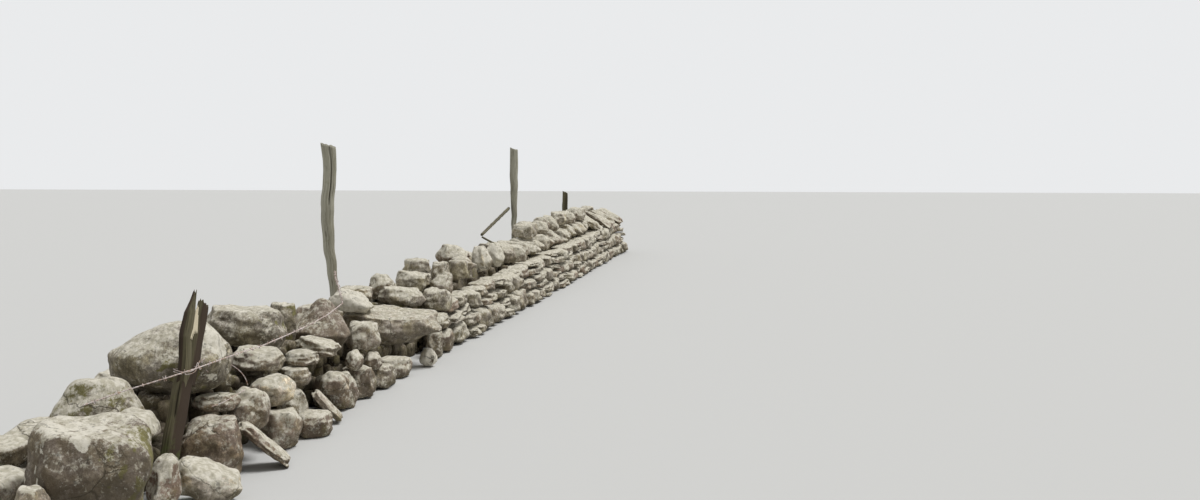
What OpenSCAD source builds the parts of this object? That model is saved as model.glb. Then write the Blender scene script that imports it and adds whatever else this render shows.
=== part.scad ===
// Dry stone boulder wall beside a green lane, with the fence stakes and wire that stand in it.
// Six bays of three metres. +X runs along the wall, -Y is the lane side, +Y is the field side,
// and the origin is on the ground, half way along, on the wall's centre line.

/* [Wall] */
// Length of one bay, about the spacing of the fence posts
bay_length = 3000; // [2400:100:3200]
// Width of the wall across its foot
foot_width = 1050; // [900:10:1200]
// How far each face leans in for each metre of height
batter = 210; // [120:10:260]
// Height of the lane face at the near end, where the cope begins
near_face_height = 355; // [300:5:420]
// How much higher the lane face is at the far end
face_rise = 230; // [150:5:320]
// How much lower the field face has slumped at the near end
slump = 130; // [0:10:160]
// Open joint left between one stone and the next
joint_gap = 12; // [6:1:20]
// Depth of a face stone into the wall, at the foot
stone_depth = 280; // [240:10:300]

/* [Fence] */
// Diameter of a round post
post_d = 108; // [80:2:140]
// Height of the tall posts above the ground
post_height = 1860; // [1500:10:2000]
// Diameter of the strand of barbed wire
wire_d = 7; // [5:1:10]

/* [Hidden] */

bay_count = 6;
wall_length = bay_count * bay_length;
near_end = -wall_length / 2;
lane = -1;
field = 1;
core_gap = 4;
slump_run = 2400;

// Colours of the stone, the wood and the wire
grey_stone = [0.60, 0.58, 0.54];
pale_stone = [0.72, 0.70, 0.65];
dark_stone = [0.44, 0.42, 0.38];
red_stone = [0.52, 0.42, 0.37];
rubble_stone = [0.40, 0.38, 0.34];
old_wood = [0.42, 0.37, 0.30];
grey_wood = [0.56, 0.53, 0.48];
rusty_wire = [0.38, 0.26, 0.19];

// Forms of stone: rings from the foot up, each [height from -1 to 1, reach, shift],
// then squareness and roughness
block = [[[-1, 0.86, 0], [-0.45, 1, 0], [0.4, 0.90, 0], [1, 0.76, 0]], 4.0, 0.10];
cobble = [[[-1, 0.56, 0], [-0.4, 1, 0], [0.35, 0.92, 0], [1, 0.52, 0]], 2.6, 0.12];
slab = [[[-1, 0.88, 0], [-0.3, 1, 0], [0.4, 0.94, 0], [1, 0.84, 0]], 3.0, 0.16];
wedge = [[[-1, 0.92, 0], [-0.45, 1, 0], [0.4, 0.60, 0.08], [1, 0.22, 0.16]], 3.4, 0.10];
hump = [[[-1, 0.80, 0], [-0.4, 1, 0], [0.35, 0.80, -0.06], [1, 0.44, -0.12]], 3.0, 0.10];
overhung = [[[-1, 0.76, 0.04], [-0.2, 0.94, 0], [0.5, 1, 0], [0.8, 0.97, 0], [1, 0.82, 0]], 4.0, 0.06];
shouldered = [
    [[-1, 0.46, 0.26], [-0.5, 0.94, 0.02], [0.15, 0.98, 0], [0.6, 0.72, 0.10], [1, 0.34, 0.26]], 2.8, 0.06
];
peaked = [[[-1, 0.60, 0.12], [-0.45, 1, 0], [0.3, 0.58, 0.04], [1, 0.13, 0.06]], 2.8, 0.08];
undercut = [[[-1, 0.50, -0.30], [-0.3, 0.74, -0.18], [0.3, 1, 0], [1, 0.90, 0]], 4.0, 0.07];

// Height at which each face stops and the cope begins, at a place along the wall
function share_along(x) = (x - near_end) / wall_length;
function lane_top(x) = near_face_height + face_rise * share_along(x) + 12 * sin(x / 4);
function field_top(x) = lane_top(x) + 60 - slump * max(0, 1 - (x - near_end) / slump_run);
function face_top(x, side) = side == lane ? lane_top(x) : field_top(x);

// Distance of a face, and of the hearting behind it, from the centre line at a height
function face_y(z, side) = side * (foot_width / 2 - batter * z / 1000);
function core_y(z, side) = side * (foot_width / 2 - stone_depth - (batter - 80) * z / 1000);

// Sums and middles of lists
function sum_to(list, n) = n == 0 ? 0 : list[n - 1] + sum_to(list, n - 1);
function middle_of(pts) = [for (k = [0:1]) sum_to([for (p = pts) p[k]], len(pts)) / len(pts)];
function between(a, b, share) = a + (b - a) * share;

// Radius of a circle drawn out towards a square
function squircle(a, power) = 1 / pow(pow(abs(cos(a)), power) + pow(abs(sin(a)), power), 1 / power);

// A ring of corners that wander in angle, in reach and in height
function stone_ring(n, z, reach, shift, power, rough, seed) =
    let (near = rands(1 - rough, 1, n, seed), turn = rands(-0.28, 0.28, n, seed + 1),
        rise = rands(-1, 1, n, seed + 2))
    [for (i = [0:n - 1])
        let (a = 360 * (i + turn[i]) / n, r = reach * near[i] * squircle(a, power))
            [r * cos(a) + shift, r * sin(a), z + 0.9 * rough * rise[i]]];

// The same points moved and stretched to fill a box of the size asked for, about its centre
function lowest(pts, k) = min([for (p = pts) p[k]]);
function highest(pts, k) = max([for (p = pts) p[k]]);
function filling(pts, size) =
    let (lo = [for (k = [0:2]) lowest(pts, k)], hi = [for (k = [0:2]) highest(pts, k)])
    [for (p = pts) [for (k = [0:2]) size[k] * ((p[k] - lo[k]) / (hi[k] - lo[k]) - 0.5)]];

// Corners of a whole stone, ring over ring
function stone_points(size, form, corners, seed) =
    filling([
        for (i = [0:len(form[0]) - 1])
            let (ring = form[0][i])
                each stone_ring(corners, ring[0], ring[1], ring[2], form[1], form[2], seed + 3 * i)
    ], size);

module hull_of(pts) {
    hull() polyhedron(points = pts, faces = [[for (i = [0:len(pts) - 1]) i]]);
}

// A point turned about x, then y, then z
function about_x(p, a) = [p[0], p[1] * cos(a) - p[2] * sin(a), p[1] * sin(a) + p[2] * cos(a)];
function about_y(p, a) = [p[0] * cos(a) + p[2] * sin(a), p[1], p[2] * cos(a) - p[0] * sin(a)];
function about_z(p, a) = [p[0] * cos(a) - p[1] * sin(a), p[0] * sin(a) + p[1] * cos(a), p[2]];
function turned(p, turn) = about_z(about_y(about_x(p, turn[0]), turn[1]), turn[2]);

// A stone that would reach under the ground has a flat foot on it
function footed(p) = [p[0], p[1], max(p[2], 0)];

// One stone: [centre, size, [tilt about x, tilt about y, turn about z], form, seed]
module stone(row, corners = 6) {
    hull_of([for (p = stone_points(row[1], row[3], corners, row[4])) footed(row[0] + turned(p, row[2]))]);
}

// Places of the joints in one course of one bay. A joint at a bay's end is shared with the next bay.
function bay_start(bay) = near_end + (bay - 1) * bay_length;
function courses_in(bay) = bay <= 3 ? 2 : 3;
function is_straight_end(end) = end == 1 || end > bay_count || courses_in(end) != courses_in(end - 1);
function end_joint(end, course, side) =
    let (shift = rands(-160, 160, 1, 50 + 7 * end + 31 * course + 113 * side)[0])
    bay_start(end) + (is_straight_end(end) ? 0 : shift);
function joints(bay, course, side, count) =
    let (from = end_joint(bay, course, side), to = end_joint(bay + 1, course, side),
        part = rands(0.62, 1.38, count, 400 + 17 * bay + 5 * course + 211 * side))
    [for (i = [0:count]) between(from, to, sum_to(part, i) / sum_to(part, count))];

// How much a joint leans, nothing at a straight end
function joint_lean(x, seed) = x % bay_length == 0 ? 0 : rands(-45, 45, 1, seed + floor(abs(x)))[0];

// Height of the bed under a course, which waves along the wall
function bed(x, course, courses, side) =
    let (wave = course < courses ? 24 * sin(x / 6 + 90 * course) : 0)
    course == 0 ? 0 : face_top(x, side) * course / courses + wave;

// The four corners of a stone's place between its two joints and its two beds
function cell(x0, x1, course, courses, side) =
    let (l0 = joint_lean(x0, course), l1 = joint_lean(x1, course))
    [[x0 - l0, bed(x0, course, courses, side)], [x1 - l1, bed(x1, course, courses, side)],
        [x1 + l1, bed(x1, course + 1, courses, side)], [x0 + l0, bed(x0, course + 1, courses, side)]];

// Some places hold two thinner stones, one on the other
function split_cell(c, seed) =
    let (r = rands(0, 1, 3, seed), low = 0.38 + 0.24 * r[1], high = 0.38 + 0.24 * r[2],
        left = between(c[0], c[3], low), right = between(c[1], c[2], high))
    r[0] < 0.3 ? [[c[0], c[1], right, left], [left, right, c[2], c[3]]] : [c];

// Outline of a stone in its place: the open joint taken off, then the corners cut off
function inset(c) =
    let (g = joint_gap / 2)
    [c[0] + [g, g], c[1] + [-g, g], c[2] + [-g, -g], c[3] + [g, -g]];
function blunted(c, seed) =
    let (cut = rands(0.14, 0.38, 8, seed))
    [for (i = [0:3])
        each [between(c[i], c[(i + 3) % 4], cut[2 * i]), between(c[i], c[(i + 1) % 4], cut[2 * i + 1])]];

// Corners of a face stone: pushed out at the face, at full size behind that, drawn in at the hearting
function drawn_in(pts, share) = let (c = middle_of(pts)) [for (p = pts) between(c, p, share)];
function face_stone_points(corner, side, seed) =
    let (r = rands(0, 1, 3, seed + 1), proud = 60 * r[0] - 15, belly = 0.56 + 0.2 * r[1],
        full = blunted(corner, seed))
    [
        for (p = drawn_in(corner, belly)) [p[0], face_y(p[1], side) + side * proud, p[1]],
        for (p = full) [p[0], face_y(p[1], side) - side * (40 + 40 * r[2]), p[1]],
        for (p = drawn_in(corner, 0.7)) [p[0], core_y(p[1], side) + side * core_gap, p[1]]
    ];

// A bay of one face, built in courses of stones that fit each other's joints
module coursed_face(bay, side, per_course) {
    courses = courses_in(bay);
    for (course = [0:courses - 1]) {
        x = joints(bay, course, side, per_course);
        for (i = [0:per_course - 1]) {
            seed = 1000 + 97 * bay + 13 * course + 29 * i + 500 * side;
            for (c = split_cell(cell(x[i], x[i + 1], course, courses, side), seed))
                hull_of(face_stone_points(inset(c), side, seed + round(c[0][1])));
        }
    }
}

// A row of cope stones lying across the wall between two places, each sloping down towards the lane.
// beds are the heights of their undersides above the lane face, one for each stone, across is how far
// they lie towards the field, and wander is how far they stray from that line.
function level(height, count) = [for (i = [1:count]) height];
module cope_row(from, to, beds, size_y, size_z, across, wander, slope, seed) {
    count = len(beds);
    part = rands(0.7, 1.3, count, seed);
    for (i = [0:count - 1]) {
        x0 = between(from, to, sum_to(part, i) / sum_to(part, count));
        x1 = between(from, to, sum_to(part, i + 1) / sum_to(part, count));
        x = (x0 + x1) / 2;
        r = rands(-1, 1, 6, seed + 41 + i);
        height = size_z * (0.93 + 0.07 * r[0]);
        stone([
            [x, across + wander * r[1], lane_top(x) + beds[i] + height / 2],
            [0.9 * (x1 - x0) - 2 * joint_gap, size_y * (0.9 + 0.1 * r[2]), height],
            [slope + 4 * r[3], 3 * r[4], 3 * r[5]], r[0] > -0.2 ? block : hump, seed + 90 + i
        ]);
    }
}

// The small stones packed between the two faces, as one solid for each bay.
// In the first bays its top is stepped to carry the boulders: [place along the wall, height].
hearting_steps = [
    [[-8350, 180], [-7700, 190], [-7640, 400], [-6960, 410], [-6480, 410], [-6380, 495], [-6000, 495]],
    [
        [-6000, 495], [-5820, 375], [-5200, 355], [-4560, 330], [-4480, 170], [-3760, 170],
        [-3680, 430], [-3000, 430]
    ],
    [
        [-3000, 430], [-2500, 460], [-1950, 500], [-1750, 505], [-1500, 540], [-1200, 590],
        [-1000, 590], [-900, 470], [0, 470]
    ]
];
function packed_top(x) = lane_top(x) - 10;
function hearting_line(bay) =
    bay <= 3 ? hearting_steps[bay - 1] : [for (x = [bay_start(bay), bay_start(bay + 1)]) [x, packed_top(x)]];
module hearting(bay) {
    line = hearting_line(bay);
    color(rubble_stone) for (i = [0:len(line) - 2])
        hull_of([for (at = [line[i], line[i + 1]], z = [0, at[1]], side = [lane, field])
            [min(at[0], wall_length / 2 - 60), core_y(z, side), z]]);
}
module hearting_1() { hearting(1); }
module hearting_2() { hearting(2); }
module hearting_3() { hearting(3); }
module hearting_4() { hearting(4); }
module hearting_5() { hearting(5); }
module hearting_6() { hearting(6); }

// Boulders of the lane side of the first bay
lane_stones_1 = [
    [[-8975, -330, 170], [195, 270, 340], [0, 0, -58], cobble, 11],
    [[-8640, 70, 147], [400, 340, 296], [0, 0, -10], block, 18],
    [[-8250, -510, 146], [160, 230, 293], [0, 10, -61], cobble, 12],
    [[-7160, -430, 279], [240, 270, 240], [0, 18, -65], cobble, 13],
    [[-6770, -380, 321], [280, 290, 188], [0, 6, -66], cobble, 14],
    [[-6880, -480, 110], [230, 260, 230], [0, 10, -66], block, 15],
    [[-6560, -560, 74], [230, 230, 150], [0, 4, -68], slab, 16],
    [[-6630, -240, 480], [350, 400, 130], [0, 6, -65], block, 17],
    [[-7360, -330, 360], [260, 160, 98], [0, 0, -62], slab, 19],
    [[-6400, -350, 134], [220, 200, 268], [0, 0, -40], cobble, 20],
    [[-6340, -350, 322], [200, 180, 116], [0, 0, -60], slab, 9]
];
// Boulders of the lane side of the second bay
lane_stones_2 = [
    [[-5860, -300, 440], [310, 340, 90], [0, 12, -68], slab, 21],
    [[-6190, -340, 418], [240, 260, 84], [0, 2, -67], slab, 22],
    [[-5980, -470, 216], [205, 200, 152], [0, 6, -68], cobble, 23],
    [[-6215, -510, 114], [60, 150, 250], [0, -40, -68], slab, 24],
    [[-5550, -450, 296], [140, 220, 138], [0, 0, -70], cobble, 25],
    [[-5150, -440, 230], [160, 230, 140], [0, 0, -71], cobble, 26],
    [[-5110, -360, 405], [260, 300, 200], [0, 4, -70], block, 27],
    [[-4060, -530, 75], [150, 170, 150], [0, 4, -73], cobble, 28],
    [[-3600, -440, 120], [150, 240, 240], [0, 0, -74], block, 29],
    [[-5760, -390, 125], [300, 260, 250], [0, 0, -8], block, 30],
    [[-5380, -400, 115], [330, 260, 230], [0, 0, 6], block, 34],
    [[-4960, -410, 85], [360, 260, 170], [0, 0, 4], block, 35],
    [[-4560, -400, 77], [330, 260, 156], [0, 0, -6], block, 36],
    [[-3300, -400, 105], [330, 250, 210], [0, 0, 3], block, 37],
    [[-3320, -385, 280], [280, 230, 140], [0, 0, 8], block, 38]
];
module lane_face_1() { color(dark_stone) for (s = lane_stones_1) stone(s); }
module lane_face_2() { color(dark_stone) for (s = lane_stones_2) stone(s); }
module lane_face_3() { color(grey_stone) coursed_face(3, lane, 9); }
module lane_face_4() { color(grey_stone) coursed_face(4, lane, 9); }
module lane_face_5() { color(grey_stone) coursed_face(5, lane, 9); }
module lane_face_6() { color(grey_stone) coursed_face(6, lane, 9); }

module field_face_1() { color(grey_stone) coursed_face(1, field, 9); }
module field_face_2() { color(grey_stone) coursed_face(2, field, 9); }
module field_face_3() { color(grey_stone) coursed_face(3, field, 9); }
module field_face_4() { color(grey_stone) coursed_face(4, field, 9); }
module field_face_5() { color(grey_stone) coursed_face(5, field, 9); }
module field_face_6() { color(grey_stone) coursed_face(6, field, 9); }

// Cope stones of the first three bays, between and behind the great boulders
cope_stones_1 = [
    [[-8070, -260, 380], [240, 280, 160], [0, 8, -60], cobble, 31],
    [[-7170, 330, 450], [360, 240, 90], [0, 0, 8], slab, 32],
    [[-6820, 190, 530], [300, 330, 210], [0, 0, 6], hump, 33]
];
cope_stones_2 = [
    [[-5560, 300, 553], [360, 230, 184], [0, 0, 6], block, 41],
    [[-5000, 70, 506], [380, 310, 200], [0, 0, 10], block, 42],
    [[-3690, 220, 544], [300, 300, 142], [0, 0, -70], slab, 43],
    [[-3450, -110, 506], [420, 340, 140], [0, 6, -72], block, 44],
    [[-3125, -325, 450], [290, 290, 200], [0, 0, -73], block, 45],
    [[-3180, 150, 562], [250, 320, 236], [0, 0, -71], hump, 46]
];
cope_stones_3 = [
    [[-2690, 20, 554], [330, 360, 192], [0, 8, -72], slab, 51],
    [[-2650, -250, 548], [220, 250, 210], [0, 20, -74], wedge, 52],
    [[-2130, 170, 611], [290, 290, 248], [0, 0, -73], block, 53],
    [[-2240, -110, 599], [180, 300, 232], [0, 0, -73], block, 54],
    [[-1880, -180, 608], [230, 320, 204], [0, 0, -74], block, 55],
    [[-1010, 120, 695], [390, 340, 210], [0, 0, -74], hump, 56],
    [[-1500, -120, 632], [300, 320, 150], [0, 0, -76], hump, 57],
    [[-400, 180, 593], [360, 300, 184], [0, 0, -10], block, 58]
];
module cope_1() { color(grey_stone) for (s = cope_stones_1) stone(s); }
module cope_2() { color(pale_stone) for (s = cope_stones_2) stone(s); }
module cope_3() { color(pale_stone) for (s = cope_stones_3) stone(s); }
// Then rows of blocks across the wall, with smaller ones piled on them, each on its own bed
module piled_cope(from, to, first_pile, pile_beds, seed) {
    color(pale_stone) {
        cope_row(from, to, level(12, 7), 580, 215, -30, 20, 4, seed);
        cope_row(first_pile, to, pile_beds, 320, 205, -20, 90, 5, seed + 60);
    }
}
module cope_4() {
    piled_cope(bay_start(4) + 200, bay_start(5), bay_start(4) + 1500, [195, 197, 215, 198], 700);
}
module cope_5() {
    piled_cope(bay_start(5), bay_start(6), bay_start(5), [208, 178, 222, 218, 193, 213, 207], 900);
}
// At the far end a row of blocks stands along the field side, and broad slabs lean on it from the lane
module cope_6() {
    color(pale_stone) {
        cope_row(bay_start(6), bay_start(7), level(43, 6), 300, 265, 225, 20, 1, 1300);
        cope_row(bay_start(6), bay_start(7), [101, 100, 80, 93, 78], 590, 105, -215, 30, 31, 1370);
    }
}

// The boulders that give this wall its outline
module end_boulder() {
    color(grey_stone) stone([[-8610, -362, 265], [505, 480, 530], [9, 3, -58], overhung, 61], 9);
}
module mossy_boulder() {
    color(grey_stone) stone([[-7895, -5, 388], [510, 360, 385], [0, 6, -58], hump, 62], 9);
}
module great_boulder() {
    color(pale_stone) stone([[-7370, -80, 600], [640, 540, 400], [0, 0, -61], shouldered, 63], 9);
}
module long_boulder() {
    color(grey_stone) {
        stone([[-6306, -24, 630], [495, 440, 260], [0, 3, -65], block, 64], 9);
        stone([[-5878, -62, 580], [200, 165, 300], [0, 6, -65], block, 60], 8);
    }
}
module wedge_boulder() {
    color(grey_stone) stone([[-5480, -170, 538], [440, 400, 354], [0, 6, -68], peaked, 65], 9);
}
module table_boulder() {
    color(pale_stone) stone([[-4120, -240, 315], [790, 530, 270], [8, 3, -71], undercut, 66], 9);
}
module lichen_boulder() {
    color(pale_stone) stone([[-4310, 30, 568], [380, 370, 165], [0, 12, -70], hump, 67], 8);
}
module banded_boulder() {
    color(pale_stone) {
        stone([[-760, -140, 623], [250, 380, 294], [0, -4, -76], hump, 68], 8);
        stone([[-20, -130, 610], [240, 380, 270], [0, 6, -76], hump, 69], 8);
    }
}
module pale_foot_slab() {
    color(pale_stone) stone([[-8010, -605, 100], [345, 260, 165], [0, 25, -63], slab, 70], 8);
}
module leaning_slab() {
    color(red_stone) stone([[-7330, -590, 132], [62, 200, 360], [0, -43, -65], slab, 71], 8);
}
module red_foot_stone() {
    color(red_stone) stone([[-7550, -400, 160], [320, 300, 310], [0, 0, -63], block, 72], 8);
}

// Corners round a stake's section, square to its length and worn to an uneven outline
function stake_ring(foot, top, share, radius, flat, sides, seed) =
    let (r = rands(0.86, 1.06, sides, seed), v = top - foot,
        turn = [0, acos(v[2] / norm(v)), atan2(v[1], v[0])])
    [for (i = [0:sides - 1])
        let (a = 360 * i / sides)
            footed(between(foot, top, share) + turned(radius * r[i] * [cos(a), flat * sin(a), 0], turn))];

// A worn stake: [foot, top, radius at the foot, radius at the top, flatness, sides, seed]
module worn_stake(foot, top, foot_r, top_r, flat, sides, seed) {
    hull_of([
        each stake_ring(foot, top, 0, foot_r, flat, sides, seed),
        each stake_ring(foot, top, 0.6, (2 * foot_r + top_r) / 3, flat, sides, seed + 1),
        each stake_ring(foot, top, 1, top_r, flat, sides, seed + 2)
    ]);
}
module round_post(foot, lean, length) {
    translate(foot) rotate(lean) cylinder(h = length, d = post_d, $fn = 24);
}
// A split stake: whole below, and above the split two halves that stand apart
module leaning_stake() {
    color(old_wood) {
        worn_stake([-8062, -385, 0], [-7800, -386, 600], 60, 53, 0.8, 9, 81);
        worn_stake([-7838, -392, 540], [-7787, -395, 850], 36, 28, 0.9, 8, 84);
        worn_stake([-7787, -395, 850], [-7688, -395, 997], 28, 10, 0.9, 8, 84);
        worn_stake([-7775, -382, 540], [-7613, -380, 824], 38, 29, 0.9, 8, 83);
        worn_stake([-7613, -380, 824], [-7541, -380, 932], 29, 17, 0.9, 8, 83);
    }
}
module tall_post() { color(grey_wood) round_post([-3020, 644, 4], [-3.7, 0, 0], post_height); }
module strainer_post() { color(grey_wood) round_post([4330, 642, 4], [0.2, 0, 0], post_height + 60); }
module end_stake() { color(old_wood) round_post([8750, 655, 4], [1, -1, 0], post_height - 700); }
module fallen_rail() { color(old_wood) worn_stake([180, 92, 831], [4330, 723, 985], 20, 26, 1, 8, 86); }
// A crooked stick whose foot stands in the gap between two cope stones, with the rail's end on its arm
module loose_stick() {
    color(old_wood) {
        worn_stake([200, -160, 466], [200, -124, 684], 15, 13, 1, 7, 88);
        worn_stake([200, -134, 680], [200, 97, 802], 13, 12, 1, 7, 90);
    }
}

// The lower strand, from the mossy boulder past the leaning stake and over the boulders to the tall post
wire_route = [
    [-8270, -120, 520], [-8110, -230, 560], [-7960, -400, 610], [-7800, -450, 625], [-7310, -430, 620],
    [-6920, -400, 605], [-6510, -380, 610], [-6110, -360, 620], [-5750, -340, 640], [-5450, -330, 680],
    [-4600, 30, 720], [-3700, 400, 690], [-3085, 640, 680]
];
module rod_between(a, b, d) {
    v = b - a;
    translate(a) rotate([0, acos(v[2] / norm(v)), atan2(v[1], v[0])]) cylinder(h = norm(v), d = d, $fn = 8);
}
module fence_wire() {
    color(rusty_wire) for (i = [0:len(wire_route) - 2]) rod_between(wire_route[i], wire_route[i + 1], wire_d);
}

hearting_1();
hearting_2();
hearting_3();
hearting_4();
hearting_5();
hearting_6();
lane_face_1();
lane_face_2();
lane_face_3();
lane_face_4();
lane_face_5();
lane_face_6();
field_face_1();
field_face_2();
field_face_3();
field_face_4();
field_face_5();
field_face_6();
cope_1();
cope_2();
cope_3();
cope_4();
cope_5();
cope_6();
end_boulder();
mossy_boulder();
great_boulder();
long_boulder();
wedge_boulder();
table_boulder();
lichen_boulder();
banded_boulder();
pale_foot_slab();
leaning_slab();
red_foot_stone();
leaning_stake();
tall_post();
strainer_post();
fallen_rail();
loose_stick();
end_stake();
fence_wire();
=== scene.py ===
# %% [markdown]
# This is a dry stone wall of field boulders, eighteen metres of it, with the fence stakes and the
# rusty wire that stand in it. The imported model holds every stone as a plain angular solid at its
# real place and size. The work here is to give those solids the skin of weathered granite, split
# wood and rusted wire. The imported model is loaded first, because every piece is fitted to it.

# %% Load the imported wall
import math
from collections import namedtuple

import bpy
import numpy as np
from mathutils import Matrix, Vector
from mathutils.bvhtree import BVHTree


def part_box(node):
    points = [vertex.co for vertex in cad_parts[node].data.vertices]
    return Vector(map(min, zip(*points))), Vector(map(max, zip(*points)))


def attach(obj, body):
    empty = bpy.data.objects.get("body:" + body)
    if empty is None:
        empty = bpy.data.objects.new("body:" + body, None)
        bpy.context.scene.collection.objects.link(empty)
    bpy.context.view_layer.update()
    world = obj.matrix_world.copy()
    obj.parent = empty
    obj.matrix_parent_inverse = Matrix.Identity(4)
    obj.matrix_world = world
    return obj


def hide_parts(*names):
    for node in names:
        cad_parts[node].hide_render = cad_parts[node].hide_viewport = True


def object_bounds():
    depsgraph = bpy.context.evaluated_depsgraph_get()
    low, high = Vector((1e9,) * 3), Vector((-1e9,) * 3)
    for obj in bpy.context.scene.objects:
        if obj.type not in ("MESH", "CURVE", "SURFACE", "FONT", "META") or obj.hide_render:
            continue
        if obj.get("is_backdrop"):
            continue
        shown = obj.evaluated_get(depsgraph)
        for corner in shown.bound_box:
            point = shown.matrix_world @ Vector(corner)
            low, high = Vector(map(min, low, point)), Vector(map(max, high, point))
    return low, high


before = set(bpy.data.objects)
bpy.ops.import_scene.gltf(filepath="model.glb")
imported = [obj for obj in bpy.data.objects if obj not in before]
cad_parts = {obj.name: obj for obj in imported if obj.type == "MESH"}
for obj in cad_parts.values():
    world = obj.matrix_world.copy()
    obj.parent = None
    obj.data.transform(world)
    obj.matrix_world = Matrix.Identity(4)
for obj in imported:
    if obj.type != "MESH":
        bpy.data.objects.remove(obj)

CAD_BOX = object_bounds()
BODY = "root"


def short(numbers):
    """The numbers rounded for printing"""
    return tuple(round(float(number), 3) for number in numbers)


print("nodes", len(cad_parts), "in a box from", short(CAD_BOX[0]), "to", short(CAD_BOX[1]))

# %% [markdown]
# The camera stands on the track at eye height, about four metres before the wall's near end and out
# on the lane side, and looks along the wall and a little down. It comes first, because it says
# which stones are close and need a fine mesh. Its direction is a yaw and a pitch, which can be read
# off a picture's horizon and vanishing point, and a tracking rotation turns it that way.

# %% Camera
EYE = Vector((-13.330, -3.343, 1.65))
YAW, PITCH = math.radians(8.53), math.radians(-4.127)
LENS, SENSOR, FAR_LIMIT = 35.34, 36.0, 200.0


def placed(name, data):
    """A new object of this data, put in the scene"""
    thing = bpy.data.objects.new(name, data)
    bpy.context.scene.collection.objects.link(thing)
    return thing


def aimed(thing, way):
    """Turns a camera or lamp to look along a direction"""
    thing.rotation_mode = "QUATERNION"
    thing.rotation_quaternion = way.to_track_quat("-Z", "Y")


sight = (math.cos(YAW) * math.cos(PITCH), math.sin(YAW) * math.cos(PITCH), math.sin(PITCH))
camera = placed("camera", bpy.data.cameras.new("camera"))
camera.data.lens, camera.data.sensor_width, camera.data.clip_end = LENS, SENSOR, FAR_LIMIT
camera.location = EYE
aimed(camera, Vector(sight))
bpy.context.scene.camera = camera
bpy.context.scene.view_settings.view_transform = "Standard"
print("camera at", short(EYE), "looking along", short(sight))

# %% [markdown]
# Weather works at every size at once, so stone is shaped with layered noise. Blender has noise
# nodes, but here the points are moved in numpy, because the mesh then keeps the shape in any
# program. The noise is the classic kind: each corner of a grid of cubes has a random slope, and the
# slopes are blended inside the cube.

# %% Layered noise
SLOPES = np.random.default_rng(7).normal(size=(256, 3))
SLOPES /= np.linalg.norm(SLOPES, axis=1)[:, None]
CORNER_KEYS = np.array([73856093, 19349663, 83492791])
SEED_KEY, STIR_KEY = 2971215073, 1274126177
FULL_RANGE = 1.6
LAYER_SHIFT = 31.7


def noise(points, seed):
    """Smooth noise from about -1 to 1, with one lump to a unit"""
    cell = np.floor(points).astype(np.int64)
    inside = points - cell
    fade = inside**3 * (inside * (inside * 6 - 15) + 10)
    total = np.zeros(len(points))
    for corner in np.ndindex(2, 2, 2):
        key = np.bitwise_xor.reduce((cell + corner) * CORNER_KEYS, axis=1) ^ seed * SEED_KEY
        key = (key ^ (key >> 13)) * STIR_KEY
        slope = SLOPES[(key ^ (key >> 16)) & 255]
        share = np.prod(np.where(corner, fade, 1 - fade), axis=1)
        total += share * ((inside - corner) * slope).sum(1)
    return total * FULL_RANGE


def layered(points, size, layers, seed):
    """Noise with its largest lumps of the size given, and each layer half the size of the last"""
    total = np.zeros(len(points))
    for layer in range(layers):
        total += noise(points / size * 2**layer + LAYER_SHIFT * layer, seed + layer) / 2**layer
    return total


def smoothstep(low, high, values):
    """From 0 at low to 1 at high, without a kink at either end"""
    t = np.clip((values - low) / (high - low), 0, 1)
    return t * t * (3 - 2 * t)


two_points = np.array([[0.3, 0.2, 0.1], [5.1, 2.2, 8.3]])
print("noise at two points:", short(layered(two_points, 0.5, 3, 1)))

# %% [markdown]
# A round stone needs an even mesh. A UV sphere crowds its points at the poles, so this is a cube
# whose sides are divided into squares and then swelled to a ball, with the squares spaced by a
# tangent so that they stay about the same size.

# %% A ball made of squares
BALLS = {}


def ball(squares):
    """Directions and faces of a ball with this many squares along each side of its cube"""
    if squares not in BALLS:
        steps = np.tan(np.linspace(-1, 1, squares + 1) * math.pi / 4)
        u, v = np.meshgrid(steps, steps, indexing="ij")
        i, j = np.meshgrid(np.arange(squares), np.arange(squares), indexing="ij")
        start = (i * (squares + 1) + j).ravel()
        side_quads = np.stack([start, start + squares + 1, start + squares + 2, start + 1], axis=1)
        points, quads = [], []
        for axis in range(3):
            for side in (-1, 1):
                sheet = np.empty((squares + 1, squares + 1, 3))
                sheet[..., axis] = side
                sheet[..., (axis + 1) % 3] = u * side
                sheet[..., (axis + 2) % 3] = v
                quads.append(side_quads + len(points) * (squares + 1) ** 2)
                points.append(sheet.reshape(-1, 3))
        points = np.round(np.concatenate(points), 6)
        welded, place = np.unique(points, axis=0, return_inverse=True)
        welded /= np.linalg.norm(welded, axis=1)[:, None]
        BALLS[squares] = welded, place.reshape(-1)[np.concatenate(quads)]
    return BALLS[squares]


print("a ball of 8 squares a side:", len(ball(8)[0]), "points and", len(ball(8)[1]), "faces")

# %% [markdown]
# Each node holds many stones that don't touch, so its mesh is taken apart into loose stones. Their
# points are welded first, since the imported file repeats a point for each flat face. The stones are
# sorted by their place along the wall, so that each stone gets the same random numbers every time.

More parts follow.
